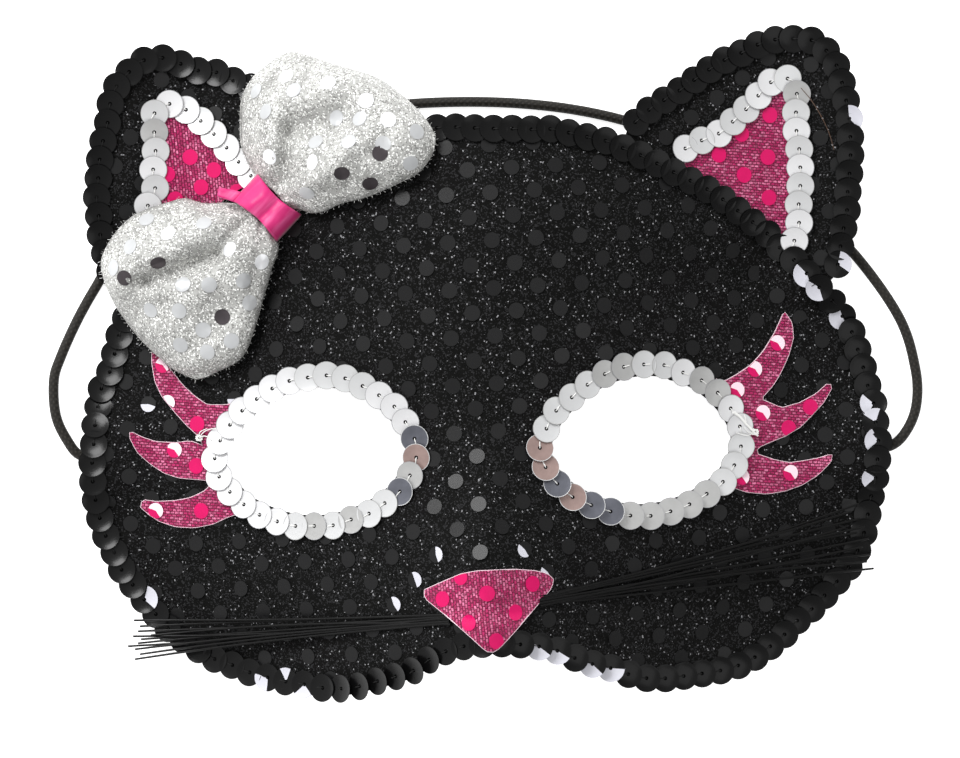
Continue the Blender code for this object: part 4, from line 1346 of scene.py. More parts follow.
@dataclass
class SequinString:
    """A sewn string of cupped sequins, each lying over the one before it, with its stitches."""

    mask: Mask
    name: str
    node: str
    centres: Line
    closed: bool
    finish: Finish
    seed: int
    sequin: CupSequin = CupSequin()
    lean: float = 8.0
    jitter: float = 1.1
    wander: float = 0.22
    lift: float = 0.0
    stitch_radius: float = 0.12
    stitch: tuple[Pair, ...] = ((-0.25, 0.0), (0.1, 0.12), (0.19, 0.5), (0.18, 0.95), (0.05, 1.4))
    felt_share: float = 0.65
    # Painted light: each sequin's plain finish in turn, the plain silver or its lit, shaded or darkest
    # copy or a painted pink reflection
    painted_light_looks: tuple[int, ...] = ()
    # The edge ring's finish for each plain finish: a darker copy as painted shadow on plain, lit and
    # shaded sequins, plain silver as painted highlight on the darkest and the pink ones
    painted_rim_looks: tuple[int, ...] = (4, 4, 4, 7, 7, 0, 0, 5)
    flashes: Flashes = ()
    standing: Callable[[Vector], float] | None = None

    def direction(self, i: int) -> Vector:
        """The string's direction at a sequin."""
        c, n = self.centres, len(self.centres)
        a = c[i - 1] if self.closed or i > 0 else c[i]
        b = c[(i + 1) % n] if self.closed or i < n - 1 else c[i]
        return (b - a).normalized()

    def build(self) -> bpy.types.Object:
        """Makes the string with its stitches as one piece."""
        chance = random.Random(self.seed)
        w = self.mask.wardrobe
        relief = self.mask.relief
        draft = Draft()
        black = self.finish is Finish.BLACK
        spots = [(at_pixel(x, y), math.radians(a), half) for x, y, a, half in self.flashes]
        for i, centre in enumerate(self.centres):
            along = self.direction(i)
            across = Vector((-along.y, along.x))
            p = centre + across * chance.uniform(-self.wander, self.wander)
            normal = relief.normal(p.x, p.y)
            normal = (normal * self.felt_share + UP * (1.0 - self.felt_share)).normalized()
            extra = self.standing(p) if self.standing else 0.0
            pitch = self.lean + extra + chance.gauss(0.0, self.jitter)
            axes = leaning_axes(normal, along, pitch, chance.gauss(0.0, self.jitter))
            lift = self.mask.string_lift + self.lift
            lift += self.sequin.radius / 2 * math.sin(math.radians(extra))
            spot = Vector((p.x, p.y, relief.height(p.x, p.y) + lift))
            flash = None
            for q, a, half in reversed(spots):
                if (q - p).length < self.mask.pitch / 2:
                    flash = (Vector((math.cos(a), math.sin(a))), half)
            plain = self.painted_light_looks[i % len(self.painted_light_looks)] if self.painted_light_looks else 0
            looks = (plain, 1, self.painted_rim_looks[plain]) if self.painted_light_looks else (0, 1, 0)
            self.sequin.add(draft, spot, axes, looks, flash)
            up, fore = axes @ UP, axes @ Vector((1.0, 0.0, 0.0))
            stitch = [spot + up * rise + fore * ahead for rise, ahead in self.stitch]
            draft.tube(stitch, self.stitch_radius, 5, 2)
        finishes = [w.sequin, w.flash, w.thread_black]
        if not black:
            finishes = [w.silver, w.flash, w.thread_white, w.silver_bright, w.silver_shaded,
                        w.silver_deep_shade, w.silver_pink_reflection, w.silver_edge_shadow]
        slot = "black_sequin" if black else "silver_sequin"
        return dress(draft.build(self.name, finishes), slot, self.node)


@dataclass
class SequinStrings:
    """All strings of the mask."""

    mask: Mask
    # Painted highlights on the rim's and the ears' black sequins: pixel x and y, plan direction in degrees
    # and half the angle of the lit sector
    rim_flashes: Flashes = (
        (150, 603, 20, 60), (261, 677, 215, 50), (279, 681, 95, 22), (303, 690, 262, 40),
        (534, 643, 240, 80), (549, 647, 250, 80), (598, 664, 235, 75), (615, 669, 265, 95),
        (807, 273, 215, 80), (819, 287, 215, 70), (843, 316, 205, 95), (868, 408, 190, 48),
        (875, 428, 110, 42), (876, 449, 175, 50), (876, 470, 180, 36),
    )
    ear_flashes: Flashes = (
        (849, 113, 20, 70), (838, 262, 20, 60),
    )
    eye_counts: tuple[int, int] = (29, 27)
    # Painted light on each silver sequin, by its place in the string's finishes: 0 plain, 3 lit, 4 shaded,
    # 5 darkest, 6 a painted pink reflection
    ring_painted_light: tuple[tuple[int, ...], tuple[int, ...]] = (
        (3, 3, 3, 3, 3, 3, 3, 0, 0, 0, 0, 3, 3, 3, 5, 6, 4, 5, 0, 0, 4, 0, 4, 0, 3, 3, 3, 3, 3),
        (6, 0, 0, 0, 0, 4, 4, 0, 0, 3, 4, 4, 3, 3, 0, 0, 0, 4, 4, 4, 4, 4, 5, 5, 6, 5, 6),
    )
    # The same painted light for the ears' silver sequins, used in turn
    ear_painted_light: tuple[int, ...] = (3, 0, 3, 0, 0, 3, 3, 0, 4, 0)
    standing_from_x: float = -37.0
    standing_to_x: float = -6.0
    standing_below_y: float = -58.0
    standing_degrees: float = 15.0
    standing_enter: float = 6.0
    standing_leave: float = 8.0
    clearance: float = 0.35
    black_clear: float = 0.62
    silver_clear: float = 0.36
    silver_sequin: CupSequin = CupSequin(cup=0.16)

    def standing(self, p: Vector) -> float:
        """How far the sequins left of the nose stand up."""
        if p.y > self.standing_below_y:
            return 0.0
        start, end = self.standing_from_x, self.standing_to_x
        enter = smoothstep(start, start + self.standing_enter, p.x)
        leave = 1.0 - smoothstep(end - self.standing_leave, end, p.x)
        return self.standing_degrees * enter * leave

    def build(self) -> None:
        """Makes the rim's string, the ears' strings and the eyes' rings."""
        m = self.mask
        rim_row = spaced(m.rim, m.pitch, True)
        SequinString(m, "string_rim", "rim_sequins", rim_row, True, Finish.BLACK, 11,
                     flashes=self.rim_flashes, standing=self.standing).build()
        clear = 2 * CupSequin().radius + self.clearance
        tables = {
            Side.LEFT: (EAR_BLACK_LEFT, EAR_SILVER_LEFT),
            Side.RIGHT: (EAR_BLACK_RIGHT, EAR_SILVER_RIGHT),
        }
        for side, (black, silver) in tables.items():
            row = spaced(m.ear_route(side, black), m.pitch, False)
            row = clear_of(row, rim_row, clear * self.black_clear)
            SequinString(m, "string_ear_" + side.word, "ear_sequins_" + side.word, row, False,
                         Finish.BLACK, 21 + side.value, flashes=self.ear_flashes).build()
            row = spaced(m.ear_route(side, silver), m.pitch, False)
            row = clear_of(row, rim_row, clear * self.silver_clear)
            SequinString(m, "string_ear_silver_" + side.word, "ear_silver_" + side.word, row, False,
                         Finish.SILVER, 31 + side.value, self.silver_sequin, 9.5, lift=0.25,
                         painted_light_looks=self.ear_painted_light).build()
        for side, count, painted_light_looks in zip(Side, self.eye_counts, self.ring_painted_light):
            row = spaced(m.eye_ring(side), m.pitch, True, count)
            SequinString(m, "string_eye_" + side.word, "eye_ring_" + side.word, row, True,
                         Finish.SILVER, 41 + side.value, self.silver_sequin, 10.0, lift=0.15,
                         painted_light_looks=painted_light_looks).build()


@dataclass
class KnitPatches:
    """The glued pieces of pink knit: inner ears, lashes and nose."""

    mask: Mask
    lift: float = 0.22
    cloth: float = 0.4
    grid: float = 1.5
    edge_pitch: float = 1.2
    dot: FlatSpangle = FlatSpangle(thickness=0.12, lit_from=-0.2)
    dot_lift: float = 0.06
    edge_radius: float = 0.13
    nose_tip_lift: float = 2.2
    nose_y: float = -52.4
    nose_height: float = 17.2
    nose_lift_from: float = 0.04
    nose_lift_to: float = 0.2
    silver_clear: float = 2.1
    ring_clear: float = 1.9
    base_gap: float = 1.0
    least_share: float = 0.31
    # Plan direction of the painted highlight on the dots that catch the light
    flash_way: Pair = (0.6, 0.8)

    def nose_rise(self, x: float, y: float) -> float:
        """How far the nose's tip is lifted over the rim's sequins."""
        below = (self.nose_y - y) / self.nose_height
        return self.nose_tip_lift * smoothstep(self.nose_lift_from, self.nose_lift_to, below)

    def make(self, name: str, outline: Line, knit: bpy.types.Material, dots: Sequence[Pair],
             lit: Sequence[Pair], rests_on: str, rise: Rise | None = None) -> None:
        """Makes one patch with its dots.

        Args:
            name: the node that it stands for.
            outline: its cut edge.
            knit: its weave.
            dots: the places of its dots, in pixels.
            lit: which of them get a painted highlight.
            rests_on: the piece under it; not used.
            rise: how far parts of it are lifted.
        """
        relief = self.mask.relief
        w = self.mask.wardrobe

        def under(x: float, y: float) -> float:
            """The height of the patch's back."""
            return relief.height(x, y) + self.lift + (rise(x, y) if rise else 0.0)

        def top(x: float, y: float) -> float:
            """The height of the patch's front."""
            return under(x, y) + self.cloth

        def above(x: float, y: float) -> float:
            """The height at which a dot lies."""
            return top(x, y) + self.dot_lift

        draft = Draft()
        edge = spaced(outline, self.edge_pitch, True)
        add_sheet(draft, edge, [], self.grid, top, under, (0, 1, 1))
        round_edge = [Vector((q.x, q.y, top(q.x, q.y) - self.edge_radius)) for q in (*edge, edge[0])]
        draft.tube(round_edge, self.edge_radius, 6, 1)
        for x, y in dots:
            p = at_pixel(x, y)
            if not inside(p, edge):
                continue
            normal = relief.normal(p.x, p.y)
            axes = leaning_axes(normal, Vector((1.0, 0.0)), 0.0)
            spot = Vector((p.x, p.y, above(p.x, p.y)))
            flash = Vector(self.flash_way) if (x, y) in lit else None
            self.dot.add(draft, spot, axes, 2, edge, flash, 3, above)
        piece = draft.build(name + "_knit", [knit, w.cut_edge, w.dot, w.dot_lit], 50.0)
        dress(piece, "pink_knit", name)
        width = max(p.x for p in edge) - min(p.x for p in edge)
        length = max(p.y for p in edge) - min(p.y for p in edge)
        box = width * length
        share = min(1.0, max(self.least_share, polygon_area(edge) / box))

    def ear(self, side: Side) -> None:
        """Makes the pink of an inner ear."""
        s = side.value
        m = self.mask
        right = side is Side.RIGHT
        silver = m.ear_route(side, EAR_SILVER_RIGHT if right else EAR_SILVER_LEFT)
        clear = self.silver_clear
        sides = offset(silver, -s * clear, False)
        base = offset(m.rim, clear, True)
        inner = [p for p in sides if min((p - q).length for q in silver) > clear - 0.05]
        inner = [p for p in inner if min((p - q).length for q in base) > self.base_gap]
        back = stretch_between(base, inner[-1], inner[0])
        outline = [*inner, *back]
        if s > 0:
            outline.reverse()
        knit = m.wardrobe.knit_flat if right else m.wardrobe.knit_steep
        dots = EAR_DOTS_RIGHT if right else EAR_DOTS_LEFT
        self.make("ear_patch_" + side.word, outline, knit, dots, (), "felt_ear_" + side.word)

    def lashes(self, side: Side) -> None:
        """Makes the three-pointed lashes of an eye."""
        m = self.mask
        right = side is Side.RIGHT
        points = [at_pixel(x, y) for x, y in (LASH_RIGHT if right else LASH_LEFT)]
        clear = offset(m.eye_ring(side), self.ring_clear, True)
        root = stretch_between(clear, points[-1], points[0])
        points = [p for p in points if not inside(p, clear)]
        outline = [*points, *root]
        dots = LASH_DOTS_RIGHT if right else LASH_DOTS_LEFT
        lit = LASH_FLASHES_RIGHT if right else LASH_FLASHES_LEFT
        self.make("lash_patch_" + side.word, outline, m.wardrobe.knit_flat, dots, lit, "felt_face")

    def build(self) -> None:
        """Makes all five patches."""
        for side in Side:
            self.ear(side)
            self.lashes(side)
        nose = [at_pixel(x, y) for x, y in NOSE_OUTLINE]
        knit = self.mask.wardrobe.knit_steep
        self.make("nose_patch", nose, knit, NOSE_DOTS, (), "felt_face", self.nose_rise)


@dataclass(frozen=True)
class Crease:
    """A fold of the bow's cloth: a valley or a ridge between two places of the lobe's frame."""

    start: Pair
    end: Pair
    depth: float
    width: float

    def rise(self, p: Vector) -> float:
        """How far the cloth is raised at a place of the lobe's frame."""
        a, b = Vector(self.start), Vector(self.end)
        d = b - a
        t = min(1.0, max(0.0, (p - a).dot(d) / max(d.length_squared, 1e-9)))
        away = (p - a - d * t).length / self.width
        return self.depth * math.exp(-away * away)


@dataclass
class Lobe:
    """One loop of the bow: a strip out along the mask, over at the far end and back to the knot."""

    name: str
    node: str
    turn: float
    mirrored: bool
    chains: tuple[Sequence[Pair], Sequence[Pair], Sequence[Pair]]
    creases: tuple[Crease, ...]
    pale: Sequence[Pair]
    dark: Sequence[Pair]
    puff: float
    seed: int


@dataclass(frozen=True)
class Folding:
    """How the bow's cloth swells and puckers, in shares of a loop's length, width and swell."""

    knot_swell: float = 0.42
    swell_rise: float = 0.58
    swell_length: float = 0.42
    end_from: float = 0.55
    end_length: float = 0.45
    end_power: float = 3.2
    edge_height: float = 0.16
    edge_power: float = 3.4
    waves: int = 7
    wave_height: float = 0.16
    wave_least: float = 0.18
    wave_most: float = 0.5
    fade_stretch: float = 1.02
    fade_power: float = 0.6
    pleats: float = 3.5
    pleat_height: float = 0.35
    pleat_length: float = 0.35
    least_depth: float = 0.5
    sag: float = 0.1
    end_rise: float = 0.16


@dataclass
class Bow:
    """The bow at the left ear: two folded loops of glitter cloth."""

    mask: Mask
    x: float = -46.6
    y: float = 32.8
    axis: float = 47.0
    clearance: float = 2.4
    cloth: float = 0.6
    across: int = 40
    out: int = 44
    folding: Folding = Folding()
    spangle: FlatSpangle = FlatSpangle(sides=22)
    spangle_probes: int = 8
    spangle_step: float = 3.0
    spangle_lift: float = 0.08
    above: float = 200.0
    fringe_length: float = 0.8
    fringe_radius: float = 0.05
    hem_width: float = 4.0
    hem_length: float = 10.0
    lobes: tuple[Lobe, ...] = (
        Lobe(
            "bow_cloth_upper", "bow_loop_upper", 0.0, False, (UPPER_LEFT, UPPER_FAR, UPPER_RIGHT),
            (
                Crease((17.0, 7.0), (24.0, 2.0), -4.0, 3.6),
                Crease((7.0, 1.0), (14.6, 7.4), -2.6, 1.6),
                Crease((6.0, 4.6), (18.0, 14.0), 1.4, 2.6),
                Crease((8.0, -2.5), (24.0, -4.5), 1.8, 2.8),
                Crease((5.0, 0.6), (12.0, -0.4), -1.4, 1.2),
                Crease((6.0, -4.6), (15.0, -9.6), -1.6, 1.5),
                Crease((27.0, 9.0), (34.0, 1.0), 1.6, 3.6),
                Crease((24.0, -9.0), (34.0, -8.0), -1.2, 2.6),
            ),
            UPPER_PALE, UPPER_DARK, 9.6, 5,
        ),
        Lobe(
            "bow_cloth_lower", "bow_loop_lower", 180.0, True, (LOWER_LEFT, LOWER_FAR, LOWER_RIGHT),
            (
                Crease((15.0, 1.4), (29.3, 8.4), -3.6, 1.8),
                Crease((29.3, 8.4), (31.0, 9.2), -2.6, 1.6),
                Crease((10.0, 5.0), (30.0, 13.4), 1.8, 3.0),
                Crease((10.0, -1.5), (34.0, -1.0), 1.9, 3.2),
                Crease((5.0, 1.5), (14.0, 1.0), -1.4, 1.2),
                Crease((6.0, -5.0), (15.0, -9.5), -1.5, 1.4),
                Crease((22.0, -9.0), (34.0, -9.0), -1.3, 2.4),
            ),
            LOWER_PALE, LOWER_DARK, 9.6, 6,
        ),
    )

    def plan(self, lobe: Lobe, along: float, across: float) -> Vector:
        """The place in the mask's plan of a place in a lobe's frame."""
        a = math.radians(self.axis + lobe.turn)
        e1 = Vector((math.cos(a), math.sin(a)))
        e2 = Vector((e1.y, -e1.x)) if lobe.mirrored else Vector((-e1.y, e1.x))
        return Vector((self.x, self.y)) + e1 * along + e2 * across

    def ground(self, x: float, y: float) -> float:
        """The height at which the bow lies over the felt."""
        return self.mask.relief.height(x, y) + self.clearance

    def lobe_grid(self, lobe: Lobe) -> Net:
        """The lobe's plan as an even net between its four edges.

        Args:
            lobe: the loop.

        Returns:
            Rows of places in the lobe's frame: across it, and then from the knot to the far edge.
        """
        left, far, right = (smooth_route(c, False, 0.3) for c in lobe.chains)
        near = [left[0], (left[0] + right[0]) / 2 + Vector((0.5, 0.0)), right[0]]
        left, right = spaced(left, 1.0, False, self.out), spaced(right, 1.0, False, self.out)
        far = spaced(far, 1.0, False, self.across)
        near = spaced(smooth_route([tuple(p) for p in near], False), 1.0, False, self.across)
        rows: Net = []
        for k in range(self.across + 1):
            t = k / self.across
            row: Line = []
            for j in range(self.out + 1):
                u = j / self.out
                edges = left[j].lerp(right[j], t) + near[k].lerp(far[k], u)
                low = left[0].lerp(right[0], t)
                high = left[-1].lerp(right[-1], t)
                row.append(edges - low.lerp(high, u))
            rows.append(row)
        return rows

    def loop_mesh(self, lobe: Lobe) -> tuple[Net, Net]:
        """The heights of a lobe's upper and lower layers.

        Args:
            lobe: the loop.

        Returns:
            The upper layer's net and the lower one's, in the mask's frame.
        """
        f = self.folding
        chance = random.Random(lobe.seed)
        waves = []
        for _ in range(f.waves):
            often = chance.uniform(f.wave_least, f.wave_most)
            waves.append((often, chance.uniform(0, math.tau), chance.uniform(0, math.tau)))
        upper: Net = []
        lower: Net = []
        for k, row in enumerate(self.lobe_grid(lobe)):
            t = k / self.across
            top_row, low_row = [], []
            for j, q in enumerate(row):
                u = j / self.out
                p = self.plan(lobe, q.x, q.y)
                ground = self.ground(p.x, p.y)
                swell = f.knot_swell + f.swell_rise * smoothstep(0.0, f.swell_length, u)
                end = max(0.0, (u - f.end_from) / f.end_length)
                swell *= math.sqrt(max(0.0, 1.0 - end**f.end_power))
                edge = abs(2.0 * t - 1.0)
                side = 1.0 - (1.0 - f.edge_height) * edge**f.edge_power
                fold = sum(c.rise(q) for c in lobe.creases)
                fold += sum(f.wave_height * math.sin(often * (q.x * math.cos(a) + q.y * math.sin(a)) + b)
                            for often, a, b in waves)
                inward = 1.0 - edge**4
                fold *= math.sin(math.pi * min(1.0, u * f.fade_stretch)) ** f.fade_power * inward
                pleat = f.pleat_height * math.cos(t * math.tau * f.pleats)
                pleat *= 1.0 - smoothstep(0.0, f.pleat_length, u)
                depth = lobe.puff * swell * side + fold + pleat * inward
                depth = max(depth, f.least_depth if u < 1.0 else 0.0)
                sag = f.sag * (1.0 - (1.0 - end) ** 2) * self.clearance
                base = ground + lobe.puff * f.end_rise * end**2 - sag
                top_row.append(Vector((p.x, p.y, max(ground + depth, base))))
                low_row.append(Vector((p.x, p.y, base)))
            meet = (top_row[-1].z + low_row[-1].z) / 2
            top_row[-1].z = low_row[-1].z = max(meet, low_row[-1].z)
            upper.append(top_row)
            lower.append(low_row)
        return upper, lower

    def build_lobe(self, lobe: Lobe) -> None:
        """Makes one loop with its spangles and loose threads."""
        upper, lower = self.loop_mesh(lobe)
        strips = [low + top[-2::-1] for top, low in zip(upper, lower)]
        corners = [p for strip in strips for p in strip]
        faces = net_faces(len(strips) - 1, len(strips[0]) - 1)
        if lobe.mirrored:
            faces = [f[::-1] for f in faces]
        draft = Draft()
        draft.add(corners, faces)
        piece = draft.build(lobe.name, [self.mask.wardrobe.bow_cloth])
        thickened(piece, self.cloth, -1.0)
        self.add_spangles(piece, lobe)
        self.add_fringe(upper, lobe)
        dress(piece, "silver_glitter_cloth", lobe.node)
        rows = self.lobe_grid(lobe)

    def add_spangles(self, piece: bpy.types.Object, lobe: Lobe) -> None:
        """Presses the lobe's spangles on its cloth."""
        tree = BVHTree.FromPolygons([v.co / MM for v in piece.data.vertices],
                                    [tuple(f.vertices) for f in piece.data.polygons])
        chance = random.Random(lobe.seed + 20)

        def height(x: float, y: float) -> float:
            """The height at which a spangle's edge lies."""
            found = tree.ray_cast(Vector((x, y, self.above)), -UP)[0]
            return found.z + self.spangle_lift if found is not None else 0.0

        draft = Draft()
        n = self.spangle_probes
        for dots, dark in ((lobe.pale, False), (lobe.dark, True)):
            for at, (x, y) in enumerate(dots):
                # Painted shade: dark spangles get the darkest copy, pale ones the shaded copy three times
                # in four and the lit one otherwise
                look = 2 if dark else (1, 1, 0, 1)[at % 4]
                p = at_pixel(x, y)
                spot = tree.ray_cast(Vector((p.x, p.y, self.above)), -UP)[0]
                if spot is None:
                    continue
                rim = [spot + Vector((math.cos(a), math.sin(a), 0.0)) * self.spangle.radius
                       for a in (k * math.tau / n for k in range(n))]
                found = [tree.ray_cast(Vector((q.x, q.y, self.above)), -UP)[0] for q in rim]
                if any(q is None or abs(q.z - spot.z) > self.spangle_step for q in found):
                    continue
                across = found[n // 4] - found[3 * n // 4]
                normal = across.cross(found[n // 2] - found[0]).normalized()
                normal = normal if normal.z > 0 else -normal
                rise = max((q - spot).dot(normal) for q in found)
                axes = leaning_axes(normal, Vector((1.0, 0.0)), chance.gauss(0, 1.5))
                middle = spot + normal * (0.05 + max(0.0, rise) * 0.3)
                self.spangle.add(draft, middle, axes, look, cloth=height)
        w = self.mask.wardrobe
        looks = [w.bow_spangle, w.bow_spangle_shaded, w.bow_spangle_deep_shade]
        dress(draft.build(lobe.name + "_spangles", looks), "silver_glitter_cloth")

    def add_fringe(self, upper: Net, lobe: Lobe) -> None:
        """Adds the short loose threads at a lobe's cut edges."""
        chance = random.Random(lobe.seed + 40)
        draft = Draft()
        edge = [*upper[0][:-1], *(row[-1] for row in upper), *upper[-1][-2::-1]]
        middle = sum(edge, Vector()) / len(edge)
        for a, b in zip(edge, edge[1:]):
            p = a.lerp(b, chance.random()) + UP * chance.uniform(-0.5, 0.1)
            out = (p - middle).to_2d().normalized().to_3d()
            side = (b - a).normalized() * chance.gauss(0.0, 0.8)
            reach = chance.uniform(0.25, self.fringe_length)
            lean = (out + side).normalized() * reach
            bend = UP * chance.uniform(-0.2, 0.3)
            thread = [p - lean * 0.4, p + lean * 0.5 + bend, p + lean]
            draft.tube(thread, self.fringe_radius, 3, 0)
        cloth = self.mask.wardrobe.bow_cloth
        dress(draft.build(lobe.name + "_fringe", [cloth]), "silver_glitter_cloth")

    def build(self) -> None:
        """Makes both loops."""
        for lobe in self.lobes:
            self.build_lobe(lobe)


@dataclass
class Knot:
    """The satin band, which is pulled round the bow's middle, and its small tail."""

    bow: Bow
    width: float = 6.4
    length: float = 12.6
    height: float = 7.6
    foot: float = 0.6
    lowest: float = -1.0
    rows: int = 40
    columns: int = 12
    flat_power: float = 3.2
    round_power: float = 0.55
    dips: tuple[Triple, ...] = ((-0.12, 0.16, 0.75), (0.42, 0.2, -0.35))
    flare: float = 0.16
    waist: float = 0.06
    edge_drop: float = 0.5
    ribbon: float = 0.45
    tail_start: Triple = (-4.8, 2.0, 2.6)
    tail_run: Pair = (-5.6, 1.6)
    tail_across: Pair = (0.5, 2.6)
    tail_taper: float = 0.25
    tail_above: float = 2.2
    tail_wave: float = 0.25
    tail_rows: int = 10
    tail_columns: int = 4

    def axes(self) -> tuple[Vector, Vector, Vector]:
        """The knot's middle, the way along the bow and the way across it."""
        bow = self.bow
        turn = math.radians(bow.axis)
        along = Vector((math.cos(turn), math.sin(turn), 0.0))
        middle = Vector((bow.x, bow.y, bow.ground(bow.x, bow.y)))
        return middle, along, Vector((-along.y, along.x, 0.0))

    def band(self) -> Line:
        """The points of the band over the bow, row after row."""
        middle, e1, e2 = self.axes()
        base = self.bow.ground(self.bow.x, self.bow.y)
        out: Line = []
        for i in range(self.rows + 1):
            s = 2.0 * i / self.rows - 1.0
            arch = (1.0 - abs(s) ** self.flat_power) ** self.round_power
            dip = sum(deep * math.exp(-(((s - at) / wide) ** 2)) for at, wide, deep in self.dips)
            for j in range(self.columns + 1):
                c = 2.0 * j / self.columns - 1.0
                waist = 1.0 + self.flare * s * s - self.waist * math.cos(3.0 * s)
                rim = self.edge_drop * abs(c) ** 3
                ripple = 0.16 * math.sin(2.6 * c + 5.0 * s) + 0.1 * math.sin(6.0 * c - 3.0 * s)
                z = self.foot + (self.height - self.foot) * arch - dip - rim
                z += ripple * (1.0 - abs(s) ** 6)
                p = middle + e2 * s * self.length / 2 + e1 * c * waist * self.width / 2
                out.append(Vector((p.x, p.y, base + max(z, self.lowest))))
        return out

    def tail(self) -> Line:
        """The points of the ribbon's short end, row after row."""
        middle, e1, e2 = self.axes()
        across, along, up = self.tail_start
        start = middle - e2 * across - e1 * along + UP * up
        out: Line = []
        for i in range(self.tail_rows + 1):
            u = i / self.tail_rows
            for j in range(self.tail_columns + 1):
                c = j / self.tail_columns - 0.5
                side = Vector((self.tail_across[0] * c, self.tail_across[1] * c, 0.0))
                run = Vector((self.tail_run[0] * u, self.tail_run[1] * u, 0.0))
                p = start + run + side * (1 - self.tail_taper * u)
                z = max(self.bow.ground(p.x, p.y) + self.tail_above, p.z)
                z += self.tail_wave * math.sin(5 * u + 3 * c)
                out.append(Vector((p.x, p.y, z)))
        return out

    def build(self) -> None:
        """Makes the band and its tail as one piece."""
        draft = Draft()
        draft.add(self.band(), [f[::-1] for f in net_faces(self.rows, self.columns)])
        draft.add(self.tail(), net_faces(self.tail_rows, self.tail_columns))
        piece = draft.build("satin_knot", [self.bow.mask.wardrobe.satin])
        dress(thickened(piece, self.ribbon, 0.0), "pink_satin", "bow_knot")


@dataclass
class Whiskers:
    """The bundles of bristles, glued under the nose."""

    mask: Mask
    radius: float = 0.29
    steps: int = 14
    rise: float = 3.0
    lowest: float = 0.3
    rise_from: float = 0.05
    rise_to: float = 0.8
    level: float = 0.55
    level_share: float = 0.6
    wander: float = 0.6
    root_height: float = 2.3
    bend: float = 0.9
    sides: int = 8
    taper: float = 0.8
    seed: int = 8
    left_root: Pair = (451.0, 617.0)
    right_root: Pair = (541.0, 599.0)
    left_tips: tuple[Pair, ...] = (
        (133, 621), (139, 627), (137, 632), (132, 637), (140, 640), (137, 644), (127, 647),
        (134, 650), (139, 655), (134, 660), (150, 636),
    )
    right_tips: tuple[Pair, ...] = (
        (860, 504), (852, 512), (861, 519), (866, 527), (858, 533), (870, 539), (864, 547),
        (872, 555), (868, 562), (875, 569), (850, 550), (846, 528),
    )

    def build(self) -> None:
        """Makes both bundles."""
        relief = self.mask.relief
        chance = random.Random(self.seed)
        for side in Side:
            right = side is Side.RIGHT
            root = at_pixel(*(self.right_root if right else self.left_root))
            tips = self.right_tips if right else self.left_tips
            draft = Draft()
            for i, tip in enumerate(tips):
                spread = (i + 0.5) / len(tips) - 0.5
                aside = chance.uniform(-self.wander, self.wander)
                start = root + Vector((aside, -spread * self.root_height))
                end = at_pixel(*tip)
                d = end - start
                across = Vector((-d.y, d.x)).normalized()
                bend = chance.gauss(0.0, self.bend)
                level = chance.uniform(0.0, self.level)
                path = []
                for k in range(self.steps + 1):
                    t = k / self.steps
                    p = start + d * t + across * bend * math.sin(math.pi * t)
                    up = self.lowest + level * self.level_share
                    up += (self.rise + level) * smoothstep(self.rise_from, self.rise_to, t)
                    path.append(Vector((p.x, p.y, relief.height(p.x, p.y) + up)))
                draft.tube(path, self.radius, self.sides, 0, self.taper)
            piece = draft.build("bristles_" + side.word, [self.mask.wardrobe.bristle])
            dress(piece, "black_bristle", "whiskers_" + side.word)


@dataclass
class ElasticCord:
    """The round elastic between the mask's sides, laid round its top."""

    finish: bpy.types.Material
    diameter: float = 2.2
    step: float = 0.9
    sides: int = 20

    def build(self) -> None:
        route = spaced(smooth_route(CORD_ROUTE, False), self.step, False)
        radius = self.diameter / 2
        path = [Vector((p.x, p.y, radius)) for p in route]
        n = self.sides
        mesh = bpy.data.meshes.new("elastic")
        corners, faces, maps = [], [], []
        for i, p in enumerate(path):
            d = (path[min(i + 1, len(path) - 1)] - path[max(i - 1, 0)]).normalized()
            side = d.cross(UP)
            for k in range(n):
                a = math.tau * k / n
                corners.append((p + (side * math.cos(a) + UP * math.sin(a)) * radius) * MM)
        for i in range(len(path) - 1):
            for k in range(n):
                a, b = i * n + k, i * n + (k + 1) % n
                faces.append((a, a + n, b + n, b))
                maps.append([(i, k), (i + 1, k), (i + 1, k + 1), (i, k + 1)])
        faces.append(tuple(range(n)))
        faces.append(tuple(range((len(path) - 1) * n, len(path) * n))[::-1])
        mesh.from_pydata(corners, [], faces)
        mesh.materials.append(self.finish)
        layer = mesh.uv_layers.new(name="length and round")
        at = 0
        for quad in maps:
            for i, k in quad:
                layer.data[at].uv = (i / (len(path) - 1), k / n)
                at += 1
        mesh.shade_smooth()
        mesh.set_sharp_from_angle(angle=math.radians(60.0))
        mesh.update()
        piece = linked("elastic", mesh)
        dress(piece, "black_elastic", "elastic_cord")


